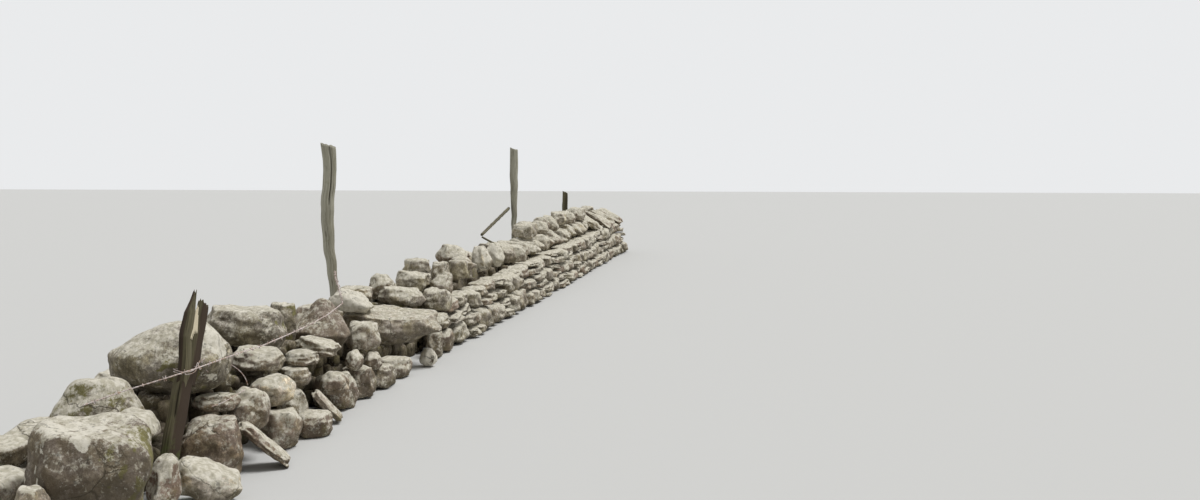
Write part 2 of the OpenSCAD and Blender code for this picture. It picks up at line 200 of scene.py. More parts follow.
# %% Take a node apart into its stones
def loose_stones(node):
    """The points and triangles of each loose stone of a node, sorted along the wall"""
    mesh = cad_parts[node].data
    mesh.calc_loop_triangles()
    points = np.array([v.co for v in mesh.vertices])
    corners = np.array([t.vertices for t in mesh.loop_triangles])
    _, first, place = np.unique(np.round(points, 4), axis=0, return_index=True, return_inverse=True)
    points, corners = points[first], place.reshape(-1)[corners]
    label = np.arange(len(points))
    while True:
        low = label[corners].min(axis=1)
        spread = label.copy()
        np.minimum.at(spread, corners.ravel(), np.repeat(low, 3))
        spread = spread[spread]
        if (spread == label).all():
            break
        label = spread
    stones = []
    for name in np.unique(label[corners]):
        own = corners[label[corners[:, 0]] == name]
        used, local = np.unique(own, return_inverse=True)
        stones.append((points[used], local.reshape(-1, 3)))
    return sorted(stones, key=lambda stone: stone[0][:, 0].mean())


print("stones in the near lane face:", len(loose_stones("lane_face_1")))

# %% [markdown]
# A stone of flat sides is easiest to round when each side is known as a plane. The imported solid's
# triangles are sorted by size, and each joins the first side that faces nearly the same way. Blows
# and frost cut corners off a field stone, so a few more planes are set across its outermost points.

# %% Read a stone's sides, and chip its corners
SMALLEST_TRIANGLE = 1e-8
CHIP_REACH = (0.87, 0.96)


def sides_of(points, corners, middle, same_side):
    """Directions and distances of a stone's sides, joined where they agree within some degrees"""
    alike = math.cos(math.radians(same_side))
    a, b, c = (points[corners[:, k]] for k in range(3))
    normal = np.cross(b - a, c - a)
    area = np.linalg.norm(normal, axis=1)
    keep = area > SMALLEST_TRIANGLE
    normal, a, area = normal[keep] / area[keep, None], a[keep], area[keep]
    distance = ((a - middle) * normal).sum(1)
    groups = []
    for i in np.argsort(-area):
        for group in groups:
            if normal[group[0]] @ normal[i] > alike:
                group.append(i)
                break
        else:
            groups.append([i])
    directions, distances = [], []
    for group in groups:
        mean = (normal[group] * area[group, None]).sum(0)
        directions.append(mean / np.linalg.norm(mean))
        distances.append((distance[group] * area[group]).sum() / area[group].sum())
    return np.array(directions), np.array(distances)


def chipped(directions, distances, points, middle, chips, random):
    """The sides, and planes that cut a little off the outermost corners"""
    for _ in range(chips):
        way = random.normal(size=3)
        way /= np.linalg.norm(way)
        reach = ((points - middle) @ way).max() * random.uniform(*CHIP_REACH)
        directions = np.vstack([directions, way])
        distances = np.append(distances, reach)
    return directions, distances


for stone, corners in loose_stones("great_boulder"):
    print("sides of the great boulder:", len(sides_of(stone, corners, stone.mean(0), 13)[0]))

# %% [markdown]
# Then every direction from the stone's middle gets a distance that blends all the planes: a high
# power keeps the edges sharp and a low one rounds them. This is surer than a bevel, which fails
# where many small sides meet, and smoother than a remesh. The directions are bent a little by noise
# before the planes are read, so that no side stays quite flat and no edge quite straight.

# %% From flat sides to a rounded stone
SIDE_BEND, BEND_RATE, BEND_SHIFT = 0.10, 1.6, 9
LEAST_SPREAD, LEAST_DISTANCE = 1e-6, 0.01


def rounded(points, corners, plan, random):
    """A ball of squares drawn in to the stone's blended sides"""
    middle = ((points.min(0) + points.max(0)) / 2 + points.mean(0)) / 2
    sides = sides_of(points, corners, middle, plan.same_side)
    directions, distances = chipped(*sides, points, middle, plan.chips, random)
    spread, axes = np.linalg.eigh(np.cov((points - middle).T))
    if np.linalg.det(axes) < 0:
        axes[:, 0] *= -1
    ways, quads = ball(plan.squares)
    seeds = [int(random.integers(1000)) for _ in range(3)]
    bent = np.column_stack([noise(ways * BEND_RATE + BEND_SHIFT * k, seeds[k]) for k in range(3)])
    scale = np.sqrt(np.maximum(spread, LEAST_SPREAD))
    read = ((ways + SIDE_BEND * bent) * scale) @ axes.T
    ways = (ways * scale) @ axes.T
    pull = np.maximum(read @ directions.T / np.maximum(distances, LEAST_DISTANCE), 0)
    return middle + ways / (pull**plan.power).sum(1)[:, None] ** (1 / plan.power), quads


def fitted(points, low, high):
    """The points drawn to fill the box between two corners"""
    least, most = points.min(0), points.max(0)
    return low + (points - least) * (high - low) / (most - least)


slab = fitted(ball(4)[0], np.zeros(3), np.array([2, 1, 0.4]))
print("a ball fitted to a slab fills", short(np.ptp(slab, axis=0)))

# %% [markdown]
# Weather works on the rounded stone: broad swells and folds over its whole size, shallow hollows
# where flakes came away, and a fine roughness. Stones of bedded granite also get thin ledges. The
# depths are shares of the stone's size, so a pebble isn't as rough as a boulder. At the end the
# stone is drawn back into the box of its solid, so that it rests where the solid rests and keeps
# clear of its neighbours. The hollows are kept for the colours, which darken them as painted shade.

# %% Weather the stone
SWELL_LUMP, SWELL_DEPTH = 0.45, 0.018
FOLD_LUMP, FOLD_DEPTH, FOLD_LEVEL = 0.50, 0.022, 0.35
FLAKE_LUMP, FLAKE_DEPTH, FLAKE_SHARE, FLAKE_EDGE = 0.12, 0.009, 0.03, (0.05, 0.35)
ROUGH_LUMP, ROUGH_DEPTH, ROUGH_SHARE, ROUGH_ALWAYS = 0.045, 0.0045, 0.016, 0.4
LEDGE_TILT, LEDGES_A_METRE, LEDGE_WAVE = np.array([0.25, 0.35, 1.0]), 30, 2
HOLLOW_DEPTH, HOLLOW_SHARE = 0.008, 0.01


def outward(points, quads):
    """The direction out of the surface at each point"""
    across = points[quads[:, 2]] - points[quads[:, 0]]
    along = points[quads[:, 3]] - points[quads[:, 1]]
    face = np.cross(across, along)
    normal = np.zeros_like(points)
    for k in range(4):
        np.add.at(normal, quads[:, k], face)
    return normal / np.maximum(np.linalg.norm(normal, axis=1), 1e-12)[:, None]


def weathered(points, quads, seed, ledges, relief):
    """The stone with its swells, hollows and roughness, and how hollow each point is"""
    size = float(np.ptp(points, axis=0).mean())
    swells = layered(points, SWELL_LUMP * size, 2, seed) * SWELL_DEPTH * size * relief
    folds = FOLD_LEVEL - np.abs(layered(points, FOLD_LUMP * size, 3, seed + 40))
    folds = folds * FOLD_DEPTH * size * relief
    flakes = -smoothstep(*FLAKE_EDGE, layered(points, FLAKE_LUMP, 3, seed + 10))
    flakes = flakes * min(FLAKE_DEPTH, FLAKE_SHARE * size) * relief
    rough = layered(points, ROUGH_LUMP, 3, seed + 20) * min(ROUGH_DEPTH, ROUGH_SHARE * size)
    rough = rough * (ROUGH_ALWAYS + (1 - ROUGH_ALWAYS) * relief)
    if ledges:
        beds = points @ LEDGE_TILT * LEDGES_A_METRE
        beds = np.column_stack([beds, points[:, :2] * LEDGE_WAVE])
        rough = rough + ledges * noise(beds, seed + 30)
    moved = points + outward(points, quads) * (swells + folds + flakes + rough)[:, None]
    # The hollow share darkens these points in the colours, as painted shade
    return moved, np.clip(0.5 - (flakes + rough) / (HOLLOW_DEPTH + HOLLOW_SHARE * size), 0, 1)


globe, quads = ball(12)
moved = np.linalg.norm(weathered(globe * 0.3, quads, 1, 0, 1.0)[0], axis=1) - 0.3
print("weather moves the skin of a ball of 0.3 m by", short((moved.min(), moved.max())), "m")

# %% [markdown]
# One mesh holds all the stones of a node. Each stone has its own tone, warmth and share of lichen,
# and each point has its hollows and patches. They go into two colour attributes of the mesh, which
# the materials read. That needs no UV map and no image, and it moves with the mesh. A patch is a
# round spot with a ragged edge, stretched upwards, because lichen and damp run down a stone.

# %% Mesh and colour attributes
MATERIALS = {}
SPOT_STRETCH, SPOT_EDGE = (1, 1, 0.4), (0.75, 1.25)
SPOT_WANDER, SPOT_LUMP = 0.9, 0.09


def joined(parts):
    """One set of points and one list of faces, from shapes given as points and arrays of faces"""
    points, faces, count = [], [], 0
    for shape, *face_arrays in parts:
        points.append(shape)
        for corners in face_arrays:
            faces += (corners + count).tolist()
        count += len(shape)
    return np.concatenate(points), faces


def mesh_piece(name, parts, node, slot, colours):
    """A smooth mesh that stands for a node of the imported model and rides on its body"""
    points, faces = joined(parts)
    mesh = bpy.data.meshes.new(name)
    mesh.from_pydata(points.tolist(), [], faces)
    mesh.shade_smooth()
    for label, values in colours.items():
        layer = mesh.color_attributes.new(label, "FLOAT_COLOR", "POINT")
        layer.data.foreach_set("color", values.astype(np.float32).ravel())
    mesh.materials.append(MATERIALS[slot])
    piece = placed(name, mesh)
    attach(piece, BODY)
    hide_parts(node)
    return piece


def near_spots(points, spots, seed):
    """From 0 to 1, how much each point lies in one of the spots, whose outlines wander"""
    share = np.zeros(len(points))
    wander = 1 + SPOT_WANDER * layered(points, SPOT_LUMP, 4, seed)
    for x, y, z, radius in spots:
        away = np.linalg.norm((points - (x, y, z)) * SPOT_STRETCH, axis=1) * wander
        share = np.maximum(share, 1 - smoothstep(radius * SPOT_EDGE[0], radius * SPOT_EDGE[1], away))
    return share


spotted = near_spots(globe, [(1, 0, 0, 0.5)], 1)
print("a spot of radius 0.5 covers", round(float((spotted > 0.5).mean()), 3), "of a ball's points")

# %% [markdown]
# Materials come next. The five granites share their effects, and wood shares the green film, so
# each effect is a node group with named inputs and outputs, built once. Small helpers keep the node
# code short. The main one adds a node and links or sets its inputs, and the others stand for the
# nodes that are used most, such as a mix of two colours, a sum, a change of range and a noise.

# %% Helpers for nodes
def add(tree, kind, inputs=(), **settings):
    """Adds a node, sets its properties, and links or sets its inputs"""
    node = tree.nodes.new(kind)
    for label, value in settings.items():
        setattr(node, label, value)
    for socket, value in dict(inputs).items():
        if isinstance(value, bpy.types.NodeSocket):
            tree.links.new(value, node.inputs[socket])
        else:
            node.inputs[socket].default_value = value
    return node


def mix(tree, share, a, b, way="MIX"):
    """The colour between a and b"""
    inputs = {0: share, 6: a, 7: b}
    return add(tree, "ShaderNodeMix", inputs, data_type="RGBA", blend_type=way).outputs[2]


def sums(tree, operation, a, b, clamp=False):
    """One sum on two numbers"""
    inputs = {0: a, 1: b}
    return add(tree, "ShaderNodeMath", inputs, operation=operation, use_clamp=clamp).outputs[0]


def ranged(tree, value, low, high, to_low=0.0, to_high=1.0):
    """The value carried from one range to another, and held inside it"""
    inputs = {"Value": value, "From Min": low, "From Max": high, "To Min": to_low, "To Max": to_high}
    return add(tree, "ShaderNodeMapRange", inputs, clamp=True).outputs["Result"]


def place_of(tree):
    """The object's own coordinates, which are metres from the wall's origin"""
    return add(tree, "ShaderNodeTexCoord").outputs["Object"]


def clouds(tree, place, scale, detail, roughness=0.5):
    """Noise from 0 to 1, with about this many lumps to a metre"""
    inputs = {"Vector": place, "Scale": scale, "Detail": detail, "Roughness": roughness}
    return add(tree, "ShaderNodeTexNoise", inputs).outputs["Fac"]


def upward(tree):
    """How far the surface looks up, from -1 to 1"""
    normal = add(tree, "ShaderNodeNewGeometry").outputs["Normal"]
    return add(tree, "ShaderNodeSeparateXYZ", {0: normal}).outputs["Z"]


def channels(tree, attribute):
    """The three channels of a colour attribute of the mesh"""
    colour = add(tree, "ShaderNodeAttribute", attribute_name=attribute).outputs["Color"]
    return add(tree, "ShaderNodeSeparateColor", {0: colour}).outputs


def group(name, inputs, outputs):
    """A new node group: its tree, and the sockets that it is given and has to fill"""
    tree = bpy.data.node_groups.new(name, "ShaderNodeTree")
    for label, value in inputs.items():
        kind = "NodeSocketColor" if isinstance(value, tuple) else "NodeSocketFloat"
        tree.interface.new_socket(label, in_out="INPUT", socket_type=kind).default_value = value
    for label, kind in outputs.items():
        tree.interface.new_socket(label, in_out="OUTPUT", socket_type="NodeSocket" + kind)
    given = tree.nodes.new("NodeGroupInput").outputs
    return tree, given, tree.nodes.new("NodeGroupOutput").inputs


def use(tree, node_group, **inputs):
    """The outputs of a node group placed in a material"""
    return add(tree, "ShaderNodeGroup", inputs, node_tree=node_group).outputs


def new_material(name):
    """A material with its node tree and its shader"""
    material = bpy.data.materials.new(name)
    material.use_nodes = True
    tree = material.node_tree
    return material, tree, tree.nodes["Principled BSDF"]


print("helpers:", [h.__name__ for h in (add, mix, sums, ranged, clouds, channels, group, use)])

# %% [markdown]
# Granite is grains of quartz, feldspar and mica, a few millimetres across, in clouds of lighter and
# darker rock. The first group gives those clouds, blotches and grains, and the roughness that a
# broken grain leaves. A Voronoi texture makes the grains, because each of its cells has one colour.
# Iron in the rock turns some clouds tawny, and the rest are faintly pink.

# %% Group: granite body
PINKISH, TAWNY = (1.05, 0.98, 0.94, 1), (1.08, 0.99, 0.76, 1)


def granite_body():
    """Clouds, blotches and grains of one rock, and how far the grains stand up"""
    tree, given, end = group(
        "Granite body",
        {"Rock": (0.3, 0.28, 0.24, 1), "Dark": (0.1, 0.09, 0.07, 1), "Pale": (0.6, 0.58, 0.5, 1)},
        {"Color": "Color", "Height": "Float"})
    place = place_of(tree)
    colour = mix(tree, ranged(tree, clouds(tree, place, 3.1, 5, 0.6), 0.38, 0.66),
                 given["Dark"], given["Rock"])
    blotches = clouds(tree, place, 17, 7, 0.68)
    colour = mix(tree, ranged(tree, blotches, 0.50, 0.68, 0, 0.70), colour, given["Pale"])
    colour = mix(tree, ranged(tree, blotches, 0.46, 0.34, 0, 0.5), colour, given["Dark"])
    iron = ranged(tree, clouds(tree, place, 6.3, 4, 0.6), 0.44, 0.62)
    colour = mix(tree, 1.0, colour, mix(tree, iron, PINKISH, TAWNY), "MULTIPLY")
    coarse = clouds(tree, place, 42, 9, 0.7)
    mottle = ranged(tree, coarse, 0.38, 0.62, 0.70, 1.32)
    grains = add(tree, "ShaderNodeTexVoronoi", {"Vector": place, "Scale": 230}).outputs["Color"]
    grain = add(tree, "ShaderNodeSeparateColor", {0: grains}).outputs[0]
    speck = sums(tree, "MULTIPLY", ranged(tree, grain, 0.0, 1.0, 0.76, 1.24), mottle)
    speck = add(tree, "ShaderNodeCombineColor", {0: speck, 1: speck, 2: speck}).outputs[0]
    tree.links.new(mix(tree, 1.0, colour, speck, "MULTIPLY"), end["Color"])
    height = add(tree, "ShaderNodeMath", {0: grain, 1: 0.12, 2: coarse}, operation="MULTIPLY_ADD")
    tree.links.new(height.outputs[0], end["Height"])
    return tree


GRANITE = granite_body()
print(GRANITE.name, "group:", len(GRANITE.nodes), "nodes")

# %% [markdown]
# Crusts of lichen grow on the sides that see the sky. They are flat, with clear edges, and each
# blotch grows round until it meets another. Two noises with a hard cut give blotches of two sizes,
# and the surface's own normal keeps them on the upper sides. A share painted on the mesh adds the
# large white crusts that a boulder has of its own, and on the banded boulder white patches that are
# painted light on its faces.

# %% Group: lichen crust
def lichen_crust():
    """Where the crusts lie, and where dark specks dot them"""
    tree, given, end = group("Lichen crust", {"Amount": 0.4, "Painted": 0.0},
                             {"Mask": "Float", "Specks": "Float"})
    place = place_of(tree)
    broad, small = clouds(tree, place, 12, 9, 0.7), clouds(tree, place, 62, 7, 0.7)
    both = sums(tree, "ADD", sums(tree, "MULTIPLY", broad, 0.55), sums(tree, "MULTIPLY", small, 0.45))
    sky = sums(tree, "POWER", ranged(tree, upward(tree), -0.10, 0.85), 2.0)
    lift = sums(tree, "MULTIPLY", given["Amount"], ranged(tree, sky, 0.0, 1.0, 0.07, 0.38))
    cut = ranged(tree, sums(tree, "ADD", both, lift), 0.58, 0.67)
    ragged = sums(tree, "MULTIPLY", sums(tree, "SUBTRACT", both, 0.5), 3.2)
    ragged = ranged(tree, sums(tree, "ADD", given["Painted"], ragged), 0.55, 0.75)
    tree.links.new(sums(tree, "MAXIMUM", cut, ragged), end["Mask"])
    dots = ranged(tree, clouds(tree, place, 38, 3), 0.57, 0.64)
    some = ranged(tree, broad, 0.50, 0.60)
    tree.links.new(sums(tree, "MULTIPLY", dots, some), end["Specks"])
    return tree


LICHEN = lichen_crust()
print(LICHEN.name, "group:", len(LICHEN.nodes), "nodes")

# %% [markdown]
# Splashed mud stains the foot of a stone dark brown. Its underside and lower sides are darker, partly
# from grime and partly as painted shade where the light from above falls least, and its hollows are
# darkened as painted shade. This group finds them from the normal and the height above the ground,
# and breaks the edge up with streaks of noise that run downwards.

# %% Group: stain and painted shade
def stain_and_painted_shade():
    """How dark a place is from dirt and painted shade, by its side, its height and its hollows"""
    tree, given, end = group("Stain and painted shade", {"Amount": 0.7, "Hollow": 0.5}, {"Mask": "Float"})
    place = place_of(tree)
    drawn = add(tree, "ShaderNodeMapping", {"Vector": place, "Scale": (9.0, 9.0, 1.6)}).outputs[0]
    streaks = ranged(tree, clouds(tree, drawn, 1.6, 6, 0.65), 0.35, 0.65, -0.22, 0.22)
    # Underside and lower sides: partly grime, partly painted shade where light from above falls least
    under = ranged(tree, upward(tree), 0.60, -0.40)
    height = add(tree, "ShaderNodeSeparateXYZ", {0: place}).outputs["Z"]
    foot = ranged(tree, height, 0.16, 0.0)
    dirt_and_shade = sums(tree, "ADD", sums(tree, "MULTIPLY", under, 0.56), sums(tree, "MULTIPLY", foot, 0.34))
    # Hollows are darkened as painted shade
    dirt_and_shade = sums(tree, "ADD", dirt_and_shade, sums(tree, "MULTIPLY", given["Hollow"], 0.22))
    dirt_and_shade = ranged(tree, sums(tree, "ADD", dirt_and_shade, streaks), 0.12, 0.85)
    tree.links.new(sums(tree, "MULTIPLY", dirt_and_shade, given["Amount"]), end["Mask"])
    return tree


STAIN_AND_SHADE = stain_and_painted_shade()
print(STAIN_AND_SHADE.name, "group:", len(STAIN_AND_SHADE.nodes), "nodes")

# %% [markdown]
# A green film grows where a stone or a stake stays damp: low down, in joints and on wood near the
# ground. The group takes a share, which says how damp the place is, and gives a soft patchy mask.

# %% Group: green film
def green_film():
    """Soft patches that spread as the place gets damper"""
    tree, given, end = group("Green film", {"Amount": 0.3}, {"Mask": "Float"})
    patches = clouds(tree, place_of(tree), 11, 7, 0.66)
    lifted = sums(tree, "ADD", patches, sums(tree, "MULTIPLY", given["Amount"], 0.5))
    tree.links.new(ranged(tree, lifted, 0.62, 0.86), end["Mask"])
    return tree


GREEN = green_film()
print(GREEN.name, "group:", len(GREEN.nodes), "nodes")

# %% [markdown]
# Frost opens fine cracks in granite, straight for a hand's length and then turning. The borders of
# large Voronoi cells run like that. A noise bends them, and a second noise leaves out most of them,
# because an unbroken net would look like dried mud.

# %% Group: cracks
def frost_cracks():
    """Fine cracks that start and stop"""
    tree, given, end = group("Cracks", {"Scale": 3.4}, {"Mask": "Float"})
    place = place_of(tree)
    bend = add(tree, "ShaderNodeTexNoise",
               {"Vector": place, "Scale": 9.0, "Detail": 5.0, "Roughness": 0.6}).outputs["Color"]
    bend = add(tree, "ShaderNodeVectorMath", {0: bend, "Scale": 0.09}, operation="SCALE").outputs[0]
    bent = add(tree, "ShaderNodeVectorMath", {0: place, 1: bend}, operation="ADD").outputs[0]
    cells = add(tree, "ShaderNodeTexVoronoi", {"Vector": bent, "Scale": given["Scale"]},
                feature="DISTANCE_TO_EDGE")
    border = ranged(tree, cells.outputs["Distance"], 0.013, 0.002)
    some = ranged(tree, clouds(tree, place, 2.3, 1), 0.52, 0.60)
    tree.links.new(sums(tree, "MULTIPLY", border, some), end["Mask"])
    return tree


CRACKS = frost_cracks()
print(CRACKS.name, "group:", len(CRACKS.nodes), "nodes")

# %% [markdown]
# Every granite material is the same recipe with its own colours. The rock comes first, then the
# stone's own tone and warmth from the mesh, then the green film, dirt with painted shade, lichen and
# cracks on top, in the order that the real coatings lie. The shader stays in the material, and the
# groups only feed it.

# %% Granite materials
LICHEN_WHITE, LICHEN_GREY = (0.72, 0.68, 0.58, 1), (0.49, 0.455, 0.355, 1)
LICHEN_BLACK, MUD_AND_SHADE = (0.06, 0.055, 0.043, 1), (0.078, 0.063, 0.038, 1)
RUSSET, OLIVE = (0.29, 0.185, 0.135, 1), (0.20, 0.185, 0.055, 1)


def granite(name, rock, dark, pale, stain_and_shade):
    """A granite with its own three colours and its share of dirt and painted shade"""
    material, tree, shader = new_material(name)
    tone, warmth, lichen = channels(tree, "stone_look")[:3]
    hollow, painted, damp = channels(tree, "stone_wear_and_painted_light")[:3]

    body = use(tree, GRANITE, Rock=(*rock, 1), Dark=(*dark, 1), Pale=(*pale, 1))
    brightness = ranged(tree, tone, 0, 2, 0.55, 2.45)
    toned = add(tree, "ShaderNodeHueSaturation", {"Value": brightness, "Color": body["Color"]})
    colour = mix(tree, sums(tree, "MULTIPLY", warmth, 0.75), toned.outputs[0], RUSSET)
    film = use(tree, GREEN, Amount=damp)["Mask"]
    colour = mix(tree, sums(tree, "MULTIPLY", film, 0.8), colour, OLIVE)
    # Mud at the foot, and painted shade on the underside and in the hollows, in one dark brown
    colour = mix(tree, use(tree, STAIN_AND_SHADE, Amount=stain_and_shade, Hollow=hollow)["Mask"], colour, MUD_AND_SHADE)

    crust = use(tree, LICHEN, Amount=lichen, Painted=painted)
    age = ranged(tree, clouds(tree, place_of(tree), 34, 5, 0.6), 0.42, 0.60)
    age = sums(tree, "ADD", age, sums(tree, "MULTIPLY", painted, 0.45), clamp=True)
    colour = mix(tree, crust["Mask"], colour, mix(tree, age, LICHEN_GREY, LICHEN_WHITE))
    colour = mix(tree, sums(tree, "MULTIPLY", crust["Specks"], 0.6), colour, LICHEN_BLACK)
    split = use(tree, CRACKS)["Mask"]
    colour = mix(tree, sums(tree, "MULTIPLY", split, 0.75), colour, MUD_AND_SHADE)
    tree.links.new(colour, shader.inputs["Base Color"])

    raised = sums(tree, "ADD", body["Height"], sums(tree, "MULTIPLY", crust["Mask"], 0.12))
    raised = sums(tree, "SUBTRACT", raised, sums(tree, "MULTIPLY", split, 0.8))
    bump = add(tree, "ShaderNodeBump", {"Height": raised, "Strength": 0.7, "Distance": 0.014})
    tree.links.new(bump.outputs[0], shader.inputs["Normal"])
    tree.links.new(ranged(tree, body["Height"], 0.2, 0.9, 0.95, 0.74), shader.inputs["Roughness"])
    shader.inputs["Specular IOR Level"].default_value = 0.3
    return material


# Each rock has its main colour, its dark and pale clouds, and how much dirt and painted shade it gets
ROCKS = {
    "grey_granite": ((0.350, 0.332, 0.285), (0.165, 0.154, 0.122), (0.54, 0.52, 0.465), 0.75),
    "pale_granite": ((0.450, 0.432, 0.382), (0.230, 0.218, 0.180), (0.65, 0.63, 0.575), 0.75),
    "dark_granite": ((0.340, 0.312, 0.265), (0.170, 0.150, 0.120), (0.56, 0.525, 0.46), 0.62),
    "red_granite": ((0.315, 0.262, 0.215), (0.170, 0.135, 0.105), (0.48, 0.44, 0.375), 0.75),
    "rubble": ((0.230, 0.215, 0.170), (0.100, 0.090, 0.065), (0.38, 0.365, 0.30), 0.90),
}
for slot, rock in ROCKS.items():
    MATERIALS[slot] = granite(slot, *rock)
print("granite materials:", list(MATERIALS))

# %% [markdown]
# A plan says how a node's stones are made. A stone near the camera has more squares. The power says
# how sharp its edges are, chips how many corners come off, and same_side how many degrees apart two
# sides may be and still be one. Ledges is their depth in metres, relief scales the weather, and the
# tone, warmth and lichen set the colours. Some boulders also have white crusts and green patches at
# places of their own, and the banded boulder has white patches of painted light on its lit faces.
# Some slumped stones have their own tone and warmth, given with a point that lies inside the stone.

# %% Plans for the stones
Plan = namedtuple("Plan", "slot squares power chips same_side ledges relief tone warm lichen")
PLANS = {
    # slot, squares, power, chips, same_side, ledges, relief, tone, warm, lichen
    "end_boulder": Plan("grey_granite", 54, 26, 2, 13, 0, 0.25, 0.40, 0.06, 0.42),
    "mossy_boulder": Plan("grey_granite", 38, 24, 2, 13, 0, 0.40, 0.60, 0.10, 0.70),
    "great_boulder": Plan("pale_granite", 54, 30, 1, 13, 0, 0.35, 0.55, 0.00, 0.80),
    "long_boulder": Plan("grey_granite", 38, 34, 1, 13, 0, 0.50, 0.70, 0.00, 0.80),
    "wedge_boulder": Plan("grey_granite", 38, 44, 1, 13, 0, 0.50, 0.20, 0.16, 0.35),
    "table_boulder": Plan("pale_granite", 48, 60, 2, 13, 0, 0.80, 0.70, 0.04, 0.80),
    "lichen_boulder": Plan("pale_granite", 28, 22, 2, 13, 0, 0.80, 0.70, 0.00, 1.20),
    "banded_boulder": Plan("pale_granite", 24, 34, 2, 26, 0.004, 1.00, 1.35, 0.00, 1.30),
    "pale_foot_slab": Plan("pale_granite", 36, 26, 3, 13, 0.006, 0.50, 1.20, 0.10, 1.20),
    "leaning_slab": Plan("red_granite", 30, 60, 2, 13, 0, 0.40, 0.80, 0.10, 0.60),
    "red_foot_stone": Plan("red_granite", 38, 30, 3, 13, 0, 0.70, 0.22, 0.15, 0.40),
    "lane_face_1": Plan("dark_granite", 24, 30, 2, 13, 0, 0.70, 0.60, 0.12, 0.95),
    "lane_face_2": Plan("dark_granite", 20, 34, 2, 13, 0, 0.80, 0.60, 0.12, 0.95),
    "lane_face_3": Plan("grey_granite", 13, 30, 1, 13, 0, 1.00, 0.60, 0.12, 0.95),
    "cope_1": Plan("grey_granite", 22, 26, 2, 13, 0, 0.70, 0.80, 0.02, 1.00),
    "cope_2": Plan("pale_granite", 22, 34, 2, 13, 0, 0.80, 0.75, 0.08, 0.80),
    "cope_3": Plan("pale_granite", 18, 44, 2, 26, 0, 1.00, 0.85, 0.12, 1.00),
    "cope_4": Plan("pale_granite", 14, 44, 2, 30, 0, 1.00, 0.90, 0.12, 1.20),
    "cope_5": Plan("pale_granite", 13, 44, 2, 30, 0, 1.00, 0.95, 0.12, 1.20),
    "cope_6": Plan("pale_granite", 12, 44, 2, 30, 0, 1.00, 0.95, 0.12, 1.20),
}
FAR_LANE_FACE = Plan("grey_granite", 8, 26, 1, 13, 0, 1.00, 0.60, 0.12, 1.00)
FIELD_FACE = Plan("grey_granite", 7, 26, 1, 13, 0, 1.00, 0.55, 0.12, 1.00)
BAYS = range(1, 7)
PLANS |= {f"lane_face_{bay}": FAR_LANE_FACE for bay in BAYS if bay > 3}
PLANS |= {f"field_face_{bay}": FIELD_FACE for bay in BAYS}

# Middles and radii of patches, and a point in each tinted stone with its tone and warmth
WHITE_CRUSTS_AND_PAINTED_LIGHT = {
    "end_boulder": ((-8.74, -0.28, 0.53, 0.065), (-8.67, -0.33, 0.53, 0.060),
                    (-8.66, -0.42, 0.53, 0.055), (-8.75, -0.40, 0.52, 0.055),
                    (-8.81, -0.45, 0.52, 0.040), (-8.60, -0.24, 0.53, 0.050)),
    "great_boulder": ((-7.36, -0.33, 0.76, 0.08), (-7.40, -0.36, 0.66, 0.06)),
    "lichen_boulder": ((-4.35, 0.03, 0.60, 0.25),),
    # The banded boulder's white patches are painted light on its faces toward the camera
    "banded_boulder": ((-0.86, -0.10, 0.66, 0.17), (-0.17, -0.13, 0.58, 0.15)),
    "lane_face_2": ((-4.10, -0.54, 0.12, 0.10),),
}
GREEN_PATCHES = {
    "end_boulder": ((-8.60, -0.60, 0.40, 0.080),),
    "mossy_boulder": ((-7.98, 0.08, 0.56, 0.10), (-7.93, -0.10, 0.52, 0.05)),
    "great_boulder": ((-7.66, -0.30, 0.48, 0.09),),
    "long_boulder": ((-6.12, -0.12, 0.62, 0.12),),
}
TINTS = {
    "lane_face_1": ((-7.20, -0.42, 0.28, 0.8, 0.25), (-6.76, -0.39, 0.30, 1.8, 0.0),
                    (-6.87, -0.48, 0.10, 0.8, 0.5), (-7.35, -0.32, 0.36, 0.5, 0.45),
                    (-6.70, -0.24, 0.47, 0.6, 0.1)),
    "lane_face_2": ((-6.23, -0.30, 0.44, 0.6, 0.3), (-5.98, -0.37, 0.41, 0.55, 0.4),
                    (-5.62, -0.45, 0.32, 0.6, 0.35), (-5.96, -0.19, 0.47, 0.75, 0.2),
                    (-6.24, -0.44, 0.20, 1.0, 0.0), (-5.22, -0.34, 0.45, 0.75, 0.1),
                    (-4.06, -0.53, 0.08, 1.4, 0.0)),
}
print("plans for", len(PLANS), "nodes")

# %% [markdown]
# Now the stones are made, node by node. The seed comes from the node's name and the stone's number,
# so a stone keeps its shape when another node changes. Stones near the ground are damp and a little
# green whatever their plan says.

# %% Make the stones
TONE_SPREAD, WARM_SPREAD, LICHEN_SPREAD, BRIGHTEST = 0.28, (0, 2), (0.5, 1.3), 1.5
FOOT_DAMP, FOOT_HEIGHT, SEED_STEP = 0.35, 0.2, 97


def look_of(node, plan, points, random):
    """A stone's own tone, warmth and share of lichen"""
    tone = np.clip(plan.tone + random.uniform(-TONE_SPREAD, TONE_SPREAD), 0, BRIGHTEST)
    warm = plan.warm * random.uniform(*WARM_SPREAD) ** 3
    lichen = plan.lichen * random.uniform(*LICHEN_SPREAD)
    for *place, own_tone, own_warm in TINTS.get(node, ()):
        if (points.min(0) < place).all() and (place < points.max(0)).all():
            tone, warm = own_tone, own_warm
    return tone, warm, lichen


